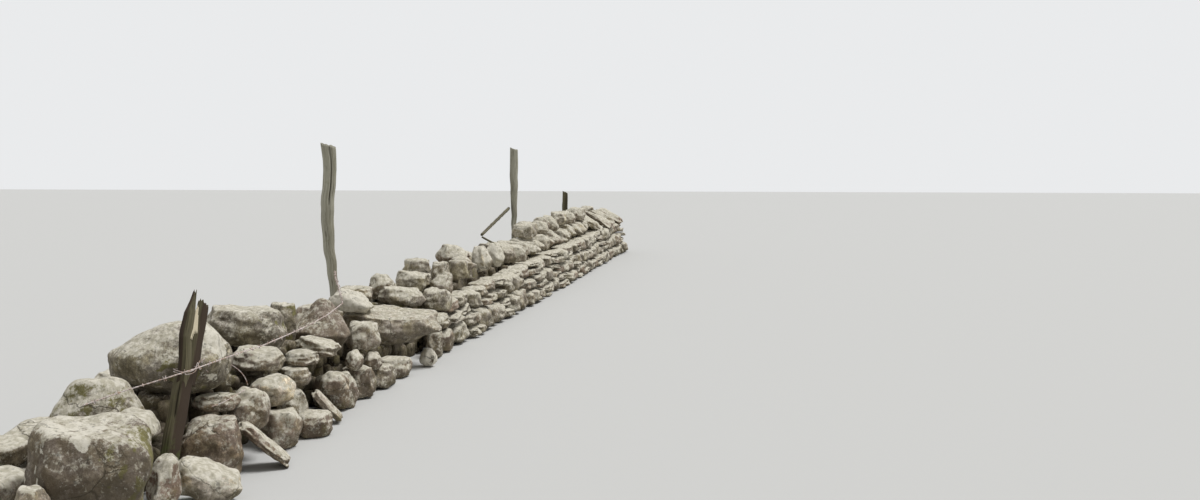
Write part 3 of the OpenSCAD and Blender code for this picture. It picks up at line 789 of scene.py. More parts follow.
def stones_of(node, plan):
    """One mesh of all the stones of a node"""
    parts, looks, wears = [], [], []
    name_seed = sum(ord(letter) * (i + 1) for i, letter in enumerate(node))
    for number, (points, corners) in enumerate(loose_stones(node)):
        seed = name_seed + SEED_STEP * number
        random = np.random.default_rng(seed)
        shape, quads = rounded(points, corners, plan, random)
        shape, hollow = weathered(shape, quads, seed, plan.ledges, plan.relief)
        shape = fitted(shape, points.min(0), points.max(0))
        parts.append((shape, quads))
        looks.append(np.tile((*look_of(node, plan, points, random), 1), (len(shape), 1)))
        damp = near_spots(shape, GREEN_PATCHES.get(node, ()), seed + 3)
        damp = damp + FOOT_DAMP * smoothstep(FOOT_HEIGHT, 0.0, shape[:, 2])
        # White share: lichen crusts, and on the banded boulder painted light
        white = near_spots(shape, WHITE_CRUSTS_AND_PAINTED_LIGHT.get(node, ()), seed + 5)
        wears.append(np.column_stack([hollow, white, damp, np.ones(len(shape))]))
    colours = {"stone_look": np.concatenate(looks), "stone_wear_and_painted_light": np.concatenate(wears)}
    return mesh_piece(node + "_stone", parts, node, plan.slot, colours)


stone_pieces = [stones_of(node, plan) for node, plan in PLANS.items()]
print("triangles of stone:", sum(2 * len(piece.data.polygons) for piece in stone_pieces))

# %% [markdown]
# The hearting is small stones packed between the faces. It shows in the gaps between the boulders,
# along the top and at the two ends of the wall. Building it solid would waste millions of triangles,
# so it is a core just under the surface, kept dark as painted shade in the gaps, with a layer of
# small stones set into it.
# Each small stone is a coarse ball cut by random planes, blended as the large stones' sides are.

# %% A small stone
PEBBLE_SQUARES, PEBBLE_POWER, PEBBLE_SIDES = 3, 12, 8
PEBBLE_REACH, PEBBLE_SHAPE = (0.75, 1.0), (0.7, 1.2)


def small_stone(middle, size, random):
    """A small packed stone with its long side turned any way"""
    ways, quads = ball(PEBBLE_SQUARES)
    planes = np.vstack([random.normal(size=(PEBBLE_SIDES, 3)), np.eye(3), -np.eye(3)])
    planes /= np.linalg.norm(planes, axis=1)[:, None]
    reach = random.uniform(*PEBBLE_REACH, len(planes))
    pull = (np.maximum(ways @ planes.T / reach, 0) ** PEBBLE_POWER).sum(1)
    shape = ways / pull[:, None] ** (1 / PEBBLE_POWER)
    shape *= size * random.uniform(*PEBBLE_SHAPE, 3)
    turn = random.uniform(0, math.pi)
    c, s = math.cos(turn), math.sin(turn)
    return middle + shape @ np.array([[c, -s, 0], [s, c, 0], [0, 0, 1]]), quads


pebble = small_stone(np.zeros(3), 0.06, np.random.default_rng(1))[0]
print("a small stone measures", short(np.ptp(pebble, axis=0)), "m")

# %% [markdown]
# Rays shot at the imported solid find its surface: down on the top, across at the open lane side of
# the first two bays, and along at the two ends of the wall. The rays start on a grid, and each is
# jittered so that no row shows. The core is the solid itself, narrower and lower, so that the small
# stones stand out of it.

# %% Where the small stones lie
OPEN_BAYS = ("hearting_1", "hearting_2")
OPEN_ENDS = {"hearting_1": -1, "hearting_6": 1}
CORE_WIDTH, SUNK, END_DEPTH = 0.80, 0.035, 0.055
STEP, END_STEP, JITTER, END_JITTER = 0.12, 0.096, 0.03, 0.02
FROM_ABOVE, FROM_LANE, FROM_END = 0.5, -2, 12
MARGINS_X, MARGINS_Y, LANE_FOOT = (0.05, 0.03), (0.04, 0.02), 0.06
END_MARGIN, END_FOOT, ROW_SHIFT = 0.02, 0.05, 0.05


def core_of(node):
    """The node's own solid, a little smaller, as the inside of the hearting, dark as painted shade"""
    low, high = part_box(node)
    for points, corners in loose_stones(node):
        inner = points * (1, CORE_WIDTH, 1)
        inner[:, 2] = np.maximum(inner[:, 2] - SUNK, 0)
        if OPEN_ENDS.get(node) == -1:
            inner[:, 0] = np.maximum(inner[:, 0], low.x + END_DEPTH)
        if OPEN_ENDS.get(node) == 1:
            inner[:, 0] = np.minimum(inner[:, 0], high.x - END_DEPTH)
        yield inner, corners


def surface_places(node, random):
    """Places for small stones: on the top, then the open lane side, then an open end"""
    low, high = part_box(node)
    depsgraph = bpy.context.evaluated_depsgraph_get()
    solid = BVHTree.FromObject(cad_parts[node], depsgraph)

    def reached(start, way, depth):
        """The place at a depth under the surface that a ray meets, or none, in a list"""
        hit = solid.ray_cast(Vector(start), Vector(way))[0]
        return [np.array(hit) + np.array(way) * depth] if hit else []

    def near(value, most=JITTER):
        """The value moved a little by chance"""
        return value + random.uniform(-most, most)

    for x in np.arange(low.x + MARGINS_X[0], high.x - MARGINS_X[1], STEP):
        for y in np.arange(low.y + MARGINS_Y[0], high.y - MARGINS_Y[1], STEP):
            yield from reached((near(x), near(y), high.z + FROM_ABOVE), (0, 0, -1), SUNK)
        for z in np.arange(LANE_FOOT, high.z, STEP) if node in OPEN_BAYS else ():
            yield from reached((near(x), FROM_LANE, near(z)), (0, 1, 0), SUNK)
    way = OPEN_ENDS.get(node, 0)
    for row, z in enumerate(np.arange(END_FOOT, high.z, END_STEP) if way else ()):
        first = low.y + END_MARGIN + ROW_SHIFT * (row % 2)
        for y in np.arange(first, high.y - END_MARGIN, END_STEP):
            start = (way * FROM_END, near(y), near(z, END_JITTER))
            yield from reached(start, (-way, 0, 0), END_DEPTH)


places = list(surface_places("hearting_1", np.random.default_rng(1)))
print("places for small stones in the first bay: about", len(places))

# %% [markdown]
# The hearting lies deep in the wall's shade and is damp and dirty, so it is one dark material, dark
# partly as painted shade, with a tone of its own for each small stone, a raised hollow share that
# adds painted shade, and little lichen. It is kept a hair inside its solid's box.

# %% Make the hearting
# The core's low tone and the rubble's hollow share are painted shade in the gaps
RUBBLE_SIZE, RUBBLE_TONE, CORE_SHADE_TONE, SKIN = (0.42, 0.62), (0.1, 0.8), 0.1, 0.001
RUBBLE_WARM, RUBBLE_LICHEN, RUBBLE_HOLLOW, RUBBLE_DAMP = 0.1, 0.15, 0.6, 0.25


def hearting(node):
    """One mesh of a bay's core and the small stones on it"""
    low, high = (np.array(corner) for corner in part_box(node))
    random = np.random.default_rng(sum(map(ord, node)))
    parts = list(core_of(node))
    tones = [CORE_SHADE_TONE] * len(parts)
    for middle in surface_places(node, random):
        size = STEP * random.uniform(*RUBBLE_SIZE)
        shape, quads = small_stone(middle, size, random)
        parts.append((np.clip(shape, low + SKIN, high - SKIN), quads))
        tones.append(random.uniform(*RUBBLE_TONE))
    tone = np.repeat(tones, [len(points) for points, _ in parts])
    one = np.ones(len(tone))
    look = np.column_stack([tone, one * RUBBLE_WARM, one * RUBBLE_LICHEN, one])
    wear = np.column_stack([one * RUBBLE_HOLLOW, one * 0, one * RUBBLE_DAMP, one])
    colours = {"stone_look": look, "stone_wear_and_painted_light": wear}
    return mesh_piece(node + "_stones", parts, node, "rubble", colours)


for bay in BAYS:
    piece = hearting(f"hearting_{bay}")
    print(piece.name, len(piece.data.polygons), "faces")

# %% [markdown]
# Old fence wood is silver grey outside, dark in its fine drying checks, and green near the ground.
# The grain runs along the stake, so a texture in world space would cut across it. Each wooden mesh
# carries its own place along and round the stake as an attribute, and the grain follows that. Noise
# drawn out along the stake by a Mapping node gives fibres, broad bands and checks.

# %% Group: wood grain
CHECK_DARK = (0.055, 0.045, 0.03, 1)


def wood_grain():
    """Fibres, bands and dark checks that run along the stake"""
    tree, given, end = group(
        "Wood grain", {"Early": (0.4, 0.35, 0.28, 1), "Late": (0.15, 0.12, 0.09, 1)},
        {"Color": "Color", "Height": "Float"})
    place = add(tree, "ShaderNodeAttribute", attribute_name="grain_place").outputs["Vector"]

    def drawn_out(across, along, scale, detail, roughness=0.5):
        """Noise stretched along the stake"""
        inputs = {"Vector": place, "Scale": (across, across, along)}
        drawn = add(tree, "ShaderNodeMapping", inputs).outputs[0]
        return clouds(tree, drawn, scale, detail, roughness)

    fibres = sums(tree, "MULTIPLY", drawn_out(60, 2.2, 1.5, 8, 0.7), 0.6)
    bands = sums(tree, "MULTIPLY", drawn_out(14, 1.1, 1.0, 4), 0.4)
    both = sums(tree, "ADD", fibres, bands)
    colour = mix(tree, ranged(tree, both, 0.38, 0.60), given["Late"], given["Early"])
    checks = ranged(tree, drawn_out(170, 2.6, 1.0, 3), 0.58, 0.68, 0.0, 0.85)
    tree.links.new(mix(tree, checks, colour, CHECK_DARK), end["Color"])
    sunk = sums(tree, "MULTIPLY", checks, 0.3)
    tree.links.new(sums(tree, "SUBTRACT", both, sunk), end["Height"])
    return tree


WOOD = wood_grain()
print(WOOD.name, "group:", len(WOOD.nodes), "nodes")

# %% [markdown]
# The stakes were split or sawn, and one side often keeps its brown bark. Each half has one side
# painted dark brown, which stands for bark and for painted shade on that side of the stake. On the
# grain lie that dark side, the dark inside of the drying cracks, the pale wood where a stake tore not
# long ago, and the green film. Each has its share in an attribute of the mesh, because its place
# depends on the shape.

# %% Wood materials
# The dark brown side stands for bark and for painted shade on the stake's shaded side
BARK_AND_SHADE_BROWN, CRACK_DARK = (0.05, 0.034, 0.022, 1), (0.03, 0.022, 0.014, 1)
FRESH_WOOD, WOOD_GREEN = (0.62, 0.55, 0.40, 1), (0.12, 0.15, 0.045, 1)


def wood(name, early, late, green_share):
    """A weathered wood with its own colours of early and late growth"""
    material, tree, shader = new_material(name)
    crack, fresh, damp = channels(tree, "wood_wear")[:3]
    bark_and_shade = add(tree, "ShaderNodeAttribute", attribute_name="bark_and_shade_share").outputs["Fac"]
    grain = use(tree, WOOD, Early=(*early, 1), Late=(*late, 1))
    colour = mix(tree, bark_and_shade, grain["Color"], BARK_AND_SHADE_BROWN)
    colour = mix(tree, crack, colour, CRACK_DARK)
    colour = mix(tree, fresh, colour, FRESH_WOOD)
    film = use(tree, GREEN, Amount=sums(tree, "MULTIPLY", damp, green_share))["Mask"]
    tree.links.new(mix(tree, film, colour, WOOD_GREEN), shader.inputs["Base Color"])
    bump = add(tree, "ShaderNodeBump",
               {"Height": grain["Height"], "Strength": 0.6, "Distance": 0.004})
    tree.links.new(bump.outputs[0], shader.inputs["Normal"])
    tree.links.new(ranged(tree, grain["Height"], 0.3, 0.7, 0.9, 0.75), shader.inputs["Roughness"])
    shader.inputs["Specular IOR Level"].default_value = 0.25
    return material


# Each wood has the colours of its early and its late growth, and how green its damp foot is
WOODS = {
    "old_wood": ((0.170, 0.152, 0.088), (0.048, 0.040, 0.023), 0.55),
    "silvered_wood": ((0.490, 0.475, 0.385), (0.230, 0.215, 0.155), 0.40),
}
for slot, growth in WOODS.items():
    MATERIALS[slot] = wood(slot, *growth)
print("materials now:", list(MATERIALS))

# %% [markdown]
# A stake is a bundle of rings along its length. Its middle line runs through a few measured places
# and sways a little between them, as a split or grown stake does. These helpers measure a line,
# spread points along it, find two directions across it, and number the faces between the rings. A
# short curve, such as a bent post, is one polynomial through its places, which never kinks.

# %% Lines and faces for a loft
def lengths_of(places):
    """How far along the line each of its places is"""
    return np.append(0, np.cumsum(np.linalg.norm(np.diff(places, axis=0), axis=1)))


def spread_along(places, along):
    """Points at the given distances along the line"""
    lengths = lengths_of(places)
    return np.column_stack([np.interp(along, lengths, places[:, k]) for k in range(3)])


def across_of(axis):
    """Two directions across an axis"""
    across = np.cross(axis, (0.0, 1.0, 0.0))
    across /= np.linalg.norm(across)
    return across, np.cross(axis, across)


def smooth_run(places, steps=16):
    """Closely spaced points on a curve through a few places, with whatever each place carries"""
    places = np.array(places)
    share, fine = np.linspace(0, 1, len(places)), np.linspace(0, 1, steps)
    power = len(places) - 1
    return np.column_stack([np.polyval(np.polyfit(share, own, power), fine) for own in places.T])


def loft_faces(rings, sides):
    """Squares between the rings, and triangles from the two end rings to two middle points"""
    ring, k = np.meshgrid(np.arange(rings - 1), np.arange(sides), indexing="ij")
    a, b = (ring * sides + k).ravel(), (ring * sides + (k + 1) % sides).ravel()
    quads = np.stack([a, b, b + sides, a + sides], axis=1)
    k, step, last = np.arange(sides), (np.arange(sides) + 1) % sides, (rings - 1) * sides
    foot_middle, top_middle = np.full(sides, rings * sides), np.full(sides, rings * sides + 1)
    foot_cap = np.column_stack([foot_middle, step, k])
    top_cap = np.column_stack([top_middle, last + k, last + step])
    return quads, np.vstack([foot_cap, top_cap])


bend = smooth_run([(0, 0), (0.7, 0.3), (1, 1)])
print("a bend in", len(bend), "points is", round(float(lengths_of(bend)[-1]), 3), "m long")

# %% [markdown]
# A round stake dries from the outside, and the skin splits along the grain. The cracks are narrow
# and deep, start and stop anywhere along the stake, and drift a little round it. Where a stake was
# cleft from a thicker log, its side is flat. Both are worked out for each point of the rings, from
# its angle round the stake and its share of the length.

# %% Drying cracks and cleft sides
CLEFT_DEPTH, CLEFT_FROM = 0.74, 0.3
CRACK_EDGE, CRACK_DRIFT, DRIFT_RATE = (0.02, 0.14), 0.12, (0, 0, 1.3)
CRACK_START, CRACK_RUN = (-0.1, 0.7), (0.25, 0.8)
OPENS_BEFORE, OPENS_AFTER, CLOSES_OVER = 0.02, 0.05, 0.1


def cleft_off(reach, angle, sides):
    """How far each point of a ring reaches, cut off flat towards the cleft sides"""
    for side in sides:
        toward = np.cos(angle - side)
        cut = CLEFT_DEPTH / np.maximum(toward, CLEFT_FROM)
        reach = np.where(toward > CLEFT_FROM, np.minimum(reach, cut), reach)
    return reach


def drying_cracks(angle, share, ring, cracks, seed, random):
    """From 0 to 1, how deep in a drying crack each point is"""
    split = np.zeros(len(ring))
    for _ in range(cracks):
        at, start = random.uniform(0, 2 * math.pi), random.uniform(*CRACK_START)
        stop = start + random.uniform(*CRACK_RUN)
        drift = CRACK_DRIFT * noise(ring * DRIFT_RATE + at, seed + 5)
        gap = np.abs((angle - at - drift + math.pi) % (2 * math.pi) - math.pi)
        opened = smoothstep(start - OPENS_BEFORE, start + OPENS_AFTER, share)
        closed = 1 - smoothstep(stop - CLOSES_OVER, stop, share)
        split = np.maximum(split, opened * closed * (1 - smoothstep(*CRACK_EDGE, gap)))
    return split


quarters = np.arange(4) * math.pi / 2
print("reach of a ring cleft on one side:", short(cleft_off(np.ones(4), quarters, (0.0,))))

# %% [markdown]
# Now the loft itself. Each ring's radius wavers, and shallow flutes run down the stake. The top
# ring is raised and lowered where the wood broke or weathered. A loft like this keeps its rings in
# order, so the place of the grain is just the place across and along, and the wear of each point
# is known from how it was made: cracked, freshly torn, damp near the ground, or on the dark brown
# side that stands for bark and painted shade.

# %% Loft a stake
FLUTES, FLUTE_LENGTH, SWAY_RATE, SWAY_SHIFT, CRACK_DEPTH = 1.4, 2.5, 5, 7, 0.30
TORN_FROM, SPLINTER_RATE, TOP_HOLLOW, LEAST_HOLLOW = 0.9, 2.6, 0.2, 0.002
BARK_SHADE_EDGE, BARK_SHADE_WANDER, BARK_SHADE_RATE, DAMP_TO = (0.45, 0.75), 0.25, 3, 0.55


def stake(places, radii, rings, sides, seed, cracks=4, flat=1.0, splinter=0.0, fresh=0.0,
          waver=0.05, bend=0.0, slant=(0.0, 0.0), cleft=(), bark_and_shade=()):
    """A stake lofted through its places: points and faces, grain places, wear, and its dark brown side
    of bark and painted shade
    """
    places, random = np.array(places, float), np.random.default_rng(seed)
    lengths = lengths_of(places)
    along = np.linspace(0, lengths[-1], rings)
    centre = spread_along(places, along)
    for k in range(3):
        sway = noise(np.outer(along, (SWAY_RATE, 0, 0)) + SWAY_SHIFT * k, seed + 2)
        centre[:, k] += bend * sway * np.sin(math.pi * along / lengths[-1])
    axis = (places[-1] - places[0]) / np.linalg.norm(places[-1] - places[0])
    across, other = across_of(axis)

    ring_angle = np.linspace(0, 2 * math.pi, sides, endpoint=False)
    height, angle = (grid.ravel() for grid in np.meshgrid(along, ring_angle, indexing="ij"))
    ring = np.column_stack([np.cos(angle) * FLUTES, np.sin(angle) * FLUTES, height * FLUTE_LENGTH])
    worn = cleft_off(1 - waver * (1 + layered(ring, 1.0, 3, seed)), angle, cleft)
    split = drying_cracks(angle, height / along[-1], ring, cracks, seed, random)
    reach = np.repeat(np.interp(along, lengths, radii), sides) * worn * (1 - CRACK_DEPTH * split)
    offset = (np.cos(angle) * reach)[:, None] * across
    offset = offset + (flat * np.sin(angle) * reach)[:, None] * other

    rim = np.column_stack([np.cos(ring_angle), np.sin(ring_angle), ring_angle * 0])
    lift = splinter * noise(rim * SPLINTER_RATE, seed + 9)
    lift = lift + slant[0] * np.cos(ring_angle - slant[1])
    near_top = smoothstep(TORN_FROM, 1.0, along / along[-1])
    points = np.repeat(centre, sides, axis=0) + offset
    points = points + (near_top[:, None] * lift).ravel()[:, None] * axis
    foot_middle, top_middle = points[:sides].mean(0), points[-sides:].mean(0)
    hollow = TOP_HOLLOW * splinter + LEAST_HOLLOW
    points = np.vstack([points, foot_middle, top_middle - axis * hollow])
    points[:, 2] = np.maximum(points[:, 2], 0)

    grain = np.column_stack([offset @ across, offset @ other, height])
    grain = np.vstack([grain, [(0, 0, 0), (0, 0, along[-1])]]) + seed
    damp = smoothstep(DAMP_TO, 0.0, points[:, 2])
    torn = np.append(np.full(len(ring), fresh), (0, fresh))
    wear = np.column_stack([np.append(split, (0, 0.5)), torn, damp, np.ones(len(points))])
    # The dark brown side: bark, and painted shade
    bark_and_shade_cover = np.zeros(len(ring))
    for side in bark_and_shade:
        edge = np.cos(angle - side) + BARK_SHADE_WANDER * noise(ring * BARK_SHADE_RATE, seed + 4)
        bark_and_shade_cover = np.maximum(bark_and_shade_cover, smoothstep(*BARK_SHADE_EDGE, edge))
    return (points, *loft_faces(rings, sides)), grain, wear, np.append(bark_and_shade_cover, (0, 0))


test_stake = stake([(0, 0, 0), (0, 0, 1)], [0.05, 0.04], 20, 12, 1)
print("a plain stake has", len(test_stake[0][0]), "points and", len(test_stake[0][1]), "side faces")

# %% [markdown]
# A piece of wood may be several lofts in one mesh, such as a stake that has split. Its cracks,
# torn wood and damp are a colour attribute, as the wear of the stones is. The place of the grain
# is three lengths and the dark brown side, for bark and painted shade, is one number, so each of
# those is an attribute of its own kind.

# %% Make a wooden piece
WOOD_LAYERS = (("grain_place", "FLOAT_VECTOR", "vector"), ("bark_and_shade_share", "FLOAT", "value"))


def wooden_piece(name, node, slot, stakes):
    """One mesh of one or more lofted stakes"""
    parts, grains, wears, bark_and_shade_covers = zip(*stakes)
    piece = mesh_piece(name, parts, node, slot, {"wood_wear": np.concatenate(wears)})
    for (label, kind, field), values in zip(WOOD_LAYERS, (grains, bark_and_shade_covers)):
        layer = piece.data.attributes.new(label, kind, "POINT")
        layer.data.foreach_set(field, np.concatenate(values).astype(np.float32).ravel())
    print(piece.name, "has", len(piece.data.polygons), "faces")


print("besides its wear, a wooden piece carries", [label for label, *_ in WOOD_LAYERS])

# %% [markdown]
# The leaning stake has split from the top down into two halves that stand apart, and pale splinters
# show where they tore. So it is three lofts, the whole foot and the two halves, with a few thin
# shards between. It stands in the slumped lane face and leans along the wall.

# %% The leaning stake
LANE_SIDE, FIELD_SIDE = math.radians(80), math.radians(-50)
FOOT = [(-8.060, -0.385, 0.0), (-7.800, -0.386, 0.600)]
LEFT_HALF = [(-7.838, -0.392, 0.530), (-7.795, -0.395, 0.780), (-7.752, -0.395, 0.900),
             (-7.690, -0.395, 0.995)]
RIGHT_HALF = [(-7.768, -0.382, 0.530), (-7.655, -0.381, 0.760), (-7.575, -0.381, 0.928)]
SHARDS = ((-7.788, 0.770, 0.105), (-7.776, 0.785, 0.130), (-7.763, 0.795, 0.135),
          (-7.749, 0.800, 0.120), (-7.735, 0.795, 0.085))
SHARD_SLOPE, STAKE_RINGS = 0.55, 100

halves = [
    stake(FOOT, [0.060, 0.056], STAKE_RINGS, 48, 81, cracks=7, flat=0.85, waver=0.08,
          bend=0.012, cleft=(-0.25, 1.35), bark_and_shade=(LANE_SIDE,)),
    stake(LEFT_HALF, [0.040, 0.038, 0.032, 0.010], STAKE_RINGS, 32, 84, cracks=5, flat=0.9,
          splinter=0.035, waver=0.12, bend=0.006, cleft=(-0.1, 1.5), bark_and_shade=(FIELD_SIDE,)),
    stake(RIGHT_HALF, [0.044, 0.040, 0.034], STAKE_RINGS, 32, 83, cracks=4, flat=0.9,
          splinter=0.025, waver=0.09, bend=0.006, cleft=(-0.2, 1.3), bark_and_shade=(LANE_SIDE,),
          slant=(0.012, FIELD_SIDE)),
]
shards = [
    stake([(x, -0.414, z), (x + SHARD_SLOPE * tall, -0.408, z + tall)], [0.012, 0.002], 10, 6,
          90 + i, cracks=0, fresh=1.0)
    for i, (x, z, tall) in enumerate(SHARDS)
]
wooden_piece("leaning_stake_wood", "leaning_stake", "old_wood", halves + shards)

# %% [markdown]
# The posts are round, with drying cracks and slanting weathered tops. A straight cylinder would be
# simpler, but a post was once a young tree and bends and swells on its way up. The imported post
# gives the foot and the top, and each station between them is a share of the height, a shift
# across the wall and a radius.

# %% The posts
POSTS = {
    "tall_post": ("silvered_wood", 20, (
        (0.0, 0.0, 0.046), (0.36, 0.008, 0.046), (0.63, 0.011, 0.062), (0.80, -0.028, 0.063),
        (1.0, -0.050, 0.071))),
    "strainer_post": ("silvered_wood", 24, (
        (0.0, 0.0, 0.044), (0.45, 0.0, 0.044), (0.7, 0.0, 0.060), (1.0, 0.0, 0.062))),
    "end_stake": ("old_wood", 20, ((0.0, 0.0, 0.060), (0.5, 0.0, 0.058), (1.0, 0.0, 0.050))),
}
POST_RINGS, POST_SIDES = 110, 40
TOP_ROOM, TOP_SLANT, END_SLICE = 0.03, (0.016, FIELD_SIDE - 0.6), 0.02


def ends_of(node):
    """The middles of a packed post's foot and top, from its own points"""
    points = np.concatenate([stone[0] for stone in loose_stones(node)])
    foot = points[points[:, 2] < points[:, 2].min() + END_SLICE].mean(0)
    top = points[points[:, 2] > points[:, 2].max() - END_SLICE].mean(0)
    return foot, top


for post, (slot, seed, stations) in POSTS.items():
    foot, top = ends_of(post)
    top = top - (0, 0, TOP_ROOM)
    run = smooth_run([(*(foot + (top - foot) * share + (0, aside, 0)), radius)
                      for share, aside, radius in stations])
    wooden_piece(post + "_wood", post, slot, [
        stake(run[:, :3], run[:, 3], POST_RINGS, POST_SIDES, seed, cracks=6, splinter=0.016,
              waver=0.06, bend=0.012, slant=TOP_SLANT)])

# %% [markdown]
# The fallen rail is a long thin pole. Its upper end is at the strainer post, and its lower end
# rests on a crooked stick that stands in the cope. The rail is one plain loft. The stick is two
# short ones, upright below the crook and reaching across the wall above it, because the rings of
# one loft all face the same way and would pinch a sharp bend.

# %% The fallen rail and the crooked stick
RAIL = [(0.185, 0.093, 0.831), (4.325, 0.722, 0.985)]
wooden_piece("fallen_rail_wood", "fallen_rail", "old_wood", [
    stake(RAIL, [0.019, 0.025], 120, 16, 31, waver=0.08, bend=0.01)])

STICK_FOOT = [(0.200, -0.160, 0.466), (0.200, -0.124, 0.684)]
STICK_TOP = [(0.200, -0.134, 0.680), (0.200, 0.097, 0.802)]
wooden_piece("loose_stick_wood", "loose_stick", "old_wood", [
    stake(STICK_FOOT, [0.0150, 0.0130], 20, 14, 37),
    stake(STICK_TOP, [0.0130, 0.0115], 20, 14, 38)])

# %% [markdown]
# Old fence wire has lost most of its zinc. Brown rust covers it in patches, and worn pale zinc is
# left between them. Rust is rough and hardly metallic, so the metallic value is low, and one noise
# drives both the colour and the roughness, which keeps them together.

# %% Rusty wire material
RUST, WORN_ZINC = (0.34, 0.20, 0.13, 1), (0.70, 0.64, 0.62, 1)


def rusty(name):
    """Rust with patches of worn zinc"""
    material, tree, shader = new_material(name)
    patches = clouds(tree, place_of(tree), 60, 5, 0.7)
    colour = mix(tree, ranged(tree, patches, 0.38, 0.56), RUST, WORN_ZINC)
    tree.links.new(colour, shader.inputs["Base Color"])
    tree.links.new(ranged(tree, patches, 0.4, 0.6, 0.6, 0.9), shader.inputs["Roughness"])
    shader.inputs["Metallic"].default_value = 0.3
    return material


MATERIALS["rusty_wire"] = rusty("rusty_wire")
print("materials:", len(MATERIALS))

# %% [markdown]
# Barbed wire is two strands twisted together, with a short length of wire wound round them every
# dozen centimetres, whose cut ends are the barbs. Curves with a round bevel are the simplest way to
# make it, since Blender sweeps the wire along them. The route is a list of places from the near end
# of the wall past the leaning stake to the tall post, and two turns tie the wire to the stake.

# %% The route of the wire
WIRE_ROUTE = np.array([
    (-8.270, -0.120, 0.520), (-8.110, -0.230, 0.560), (-7.960, -0.400, 0.610),
    (-7.800, -0.450, 0.625), (-7.310, -0.430, 0.620), (-6.920, -0.400, 0.605),
    (-6.510, -0.380, 0.610), (-6.110, -0.360, 0.620), (-5.750, -0.340, 0.640),
    (-5.450, -0.330, 0.680), (-4.600, 0.030, 0.720), (-3.700, 0.400, 0.690),
    (-3.085, 0.640, 0.680),
])
LOOSE_STRANDS = (
    ((-7.555, -0.345, 0.640), (-7.530, -0.350, 0.590), (-7.500, -0.360, 0.550)),
    ((-7.545, -0.345, 0.610), (-7.520, -0.352, 0.625), (-7.490, -0.350, 0.600)),
    ((-7.300, -0.385, 0.560), (-7.240, -0.425, 0.500), (-7.215, -0.445, 0.430)),
    ((-7.225, -0.435, 0.405), (-7.340, -0.440, 0.400), (-7.440, -0.425, 0.385),
     (-7.520, -0.385, 0.370)),
)
STRAND_RADIUS, TWIST_SWING, TWIST_PITCH = 0.0021, 0.0016, 0.055
ROUTE_STEP = TWIST_PITCH / 8
STAKE_X, STAKE_Y, TIE_HEIGHT = -7.797, -0.386, 0.606
TIE_REACH_X, TIE_REACH_Y, TIE_WAVE, TIE_GAP = 0.060, 0.052, 0.006, 0.012
CUT_END = np.array([(0.012, -0.006, 0.010), (0.020, -0.010, 0.030), (0.034, -0.008, 0.020)])


def close_route():
    """Closely spaced points along the route, and the directions across and along it"""
    along = np.arange(0, lengths_of(WIRE_ROUTE)[-1], ROUTE_STEP)
    middle = spread_along(WIRE_ROUTE, along)
    run = np.gradient(middle, axis=0)
    run /= np.linalg.norm(run, axis=1)[:, None]
    side = np.cross(run, (0.0, 0.0, 1.0))
    side /= np.linalg.norm(side, axis=1)[:, None]
    return along, middle, side, np.cross(side, run), run


def tie_round_stake(height, start):
    """A turn of wire round the leaning stake, with its cut end sticking up beside the knot"""
    turn = np.linspace(start, start + 2 * math.pi, 30)
    x, y = STAKE_X + TIE_REACH_X * np.cos(turn), STAKE_Y - TIE_REACH_Y * np.sin(turn)
    ring = np.column_stack([x, y, height + TIE_WAVE * np.sin(2 * turn)])
    return np.vstack([ring, ring[-1] + CUT_END])


print("length of the wire:", round(float(lengths_of(WIRE_ROUTE)[-1]), 3), "m")

# %% [markdown]
# Now the strands, barbs, ties and broken ends are splines of one curve. The two strands are the
# same helix half a turn apart. The barbs come in pairs, and each is a short piece set through the
# middle of the wire at an angle of its own.

# %% Barbed wire
BARB_SPACING, BARB_LENGTH, BARB_GAP = 0.115, 0.014, 0.004
FIRST_BARB, LAST_BARB, TIE_START, TIE_TURN = 0.06, 0.04, 0.4, 0.6


def add_spline(curve, points):
    """One more length of wire through these points"""
    spline = curve.splines.new("POLY")
    spline.points.add(len(points) - 1)
    spline.points.foreach_set("co", np.column_stack([points, np.ones(len(points))]).ravel())


def barbed_wire():
    """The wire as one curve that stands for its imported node"""
    curve = bpy.data.curves.new("barbed_wire", "CURVE")
    curve.dimensions, curve.bevel_depth, curve.bevel_resolution = "3D", STRAND_RADIUS, 1
    along, middle, side, up, run = close_route()
    for start in (0, math.pi):
        turn = along / TWIST_PITCH * 2 * math.pi + start
        swing = TWIST_SWING * (np.cos(turn)[:, None] * side + np.sin(turn)[:, None] * up)
        add_spline(curve, middle + swing)
    random = np.random.default_rng(5)
    for at in np.arange(FIRST_BARB, along[-1] - LAST_BARB, BARB_SPACING):
        i = int(at / ROUTE_STEP)
        for lean in (0.0, math.pi / 2):
            spin = random.uniform(0, math.pi) + lean
            way = (math.cos(spin) * side[i] + math.sin(spin) * up[i]) * BARB_LENGTH
            push = run[i] * (BARB_GAP if lean else -BARB_GAP)
            centre = middle[i] + push
            add_spline(curve, np.array([centre - way, centre, centre + push + way]))
    for turn in range(2):
        height, start = TIE_HEIGHT + TIE_GAP * turn, TIE_START + TIE_TURN * turn
        add_spline(curve, tie_round_stake(height, start))
    for strand in LOOSE_STRANDS:
        add_spline(curve, smooth_run(strand))
    curve.materials.append(MATERIALS["rusty_wire"])
    wire = placed("barbed_wire", curve)
    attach(wire, BODY)
    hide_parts("fence_wire")
    return wire


print("wire splines:", len(barbed_wire().data.splines))

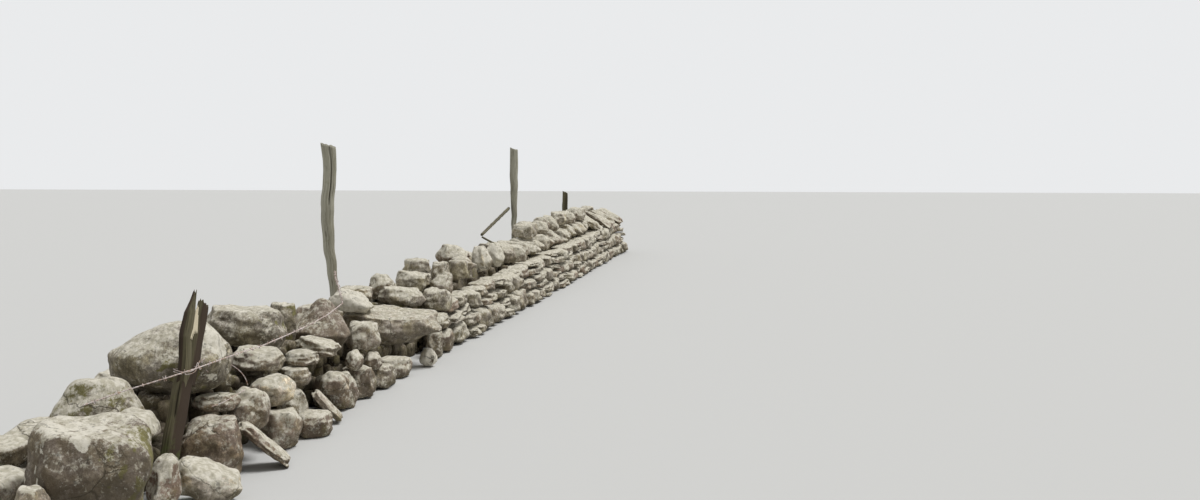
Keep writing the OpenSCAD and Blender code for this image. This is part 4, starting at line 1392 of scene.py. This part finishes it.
# %% [markdown]
# The studio is plain: a pale floor, a broad soft sun from above the lane side, and an even pale sky
# that fills the shadows. A sun lamp with a wide angle lights all eighteen metres evenly, which a
# small lamp near the wall can't. The sky shows as a plain pale backdrop to the camera and in
# reflections, and it lights the wall with its own lower strength.

# %% Floor, sun and sky
FLOOR_REACH, FLOOR_COLOUR = 60, (0.56, 0.56, 0.545, 1)
SUN_WAY, SUN_STRENGTH, SUN_ANGLE = (-0.18, 0.42, -1.0), 2.45, math.radians(25)
SKY_COLOUR, SKY_LIGHT, SKY_STRENGTH = (0.82, 0.83, 0.84, 1), (1.0, 1.0, 1.0, 1), 0.40

floor_mesh = bpy.data.meshes.new("floor")
corners = ((-1, -1), (1, -1), (1, 1), (-1, 1))
floor_mesh.from_pydata([(FLOOR_REACH * x, FLOOR_REACH * y, 0) for x, y in corners], [], [(0, 1, 2, 3)])
floor_material, _, floor_shader = new_material("floor")
floor_shader.inputs["Base Color"].default_value = FLOOR_COLOUR
floor_shader.inputs["Roughness"].default_value = 0.9
floor_mesh.materials.append(floor_material)
floor = placed("floor", floor_mesh)
floor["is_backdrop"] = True

sun = placed("sun", bpy.data.lights.new("sun", "SUN"))
sun.data.energy, sun.data.angle = SUN_STRENGTH, SUN_ANGLE
aimed(sun, Vector(SUN_WAY))

world = bpy.data.worlds.new("sky")
bpy.context.scene.world = world
world.use_nodes = True
sky_tree = world.node_tree
background = sky_tree.nodes["Background"]
rays = add(sky_tree, "ShaderNodeLightPath").outputs
mirrored = sums(sky_tree, "MAXIMUM", rays["Is Glossy Ray"], rays["Is Transmission Ray"])
seen = sums(sky_tree, "MAXIMUM", rays["Is Camera Ray"], mirrored)
sky_tree.links.new(mix(sky_tree, seen, SKY_LIGHT, SKY_COLOUR), background.inputs["Color"])
sky_tree.links.new(ranged(sky_tree, seen, 0, 1, SKY_STRENGTH, 1.0), background.inputs["Strength"])
print("sun", SUN_STRENGTH, "from", short(SUN_WAY), "sky", SKY_STRENGTH)

# %% [markdown]
# Last, the size of the dressed wall is printed, to set beside the imported model's box printed at
# the start, so that the two can be compared.

# %% Sizes, and the end
print("dressed wall from", short(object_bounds()[0]), "to", short(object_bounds()[1]))
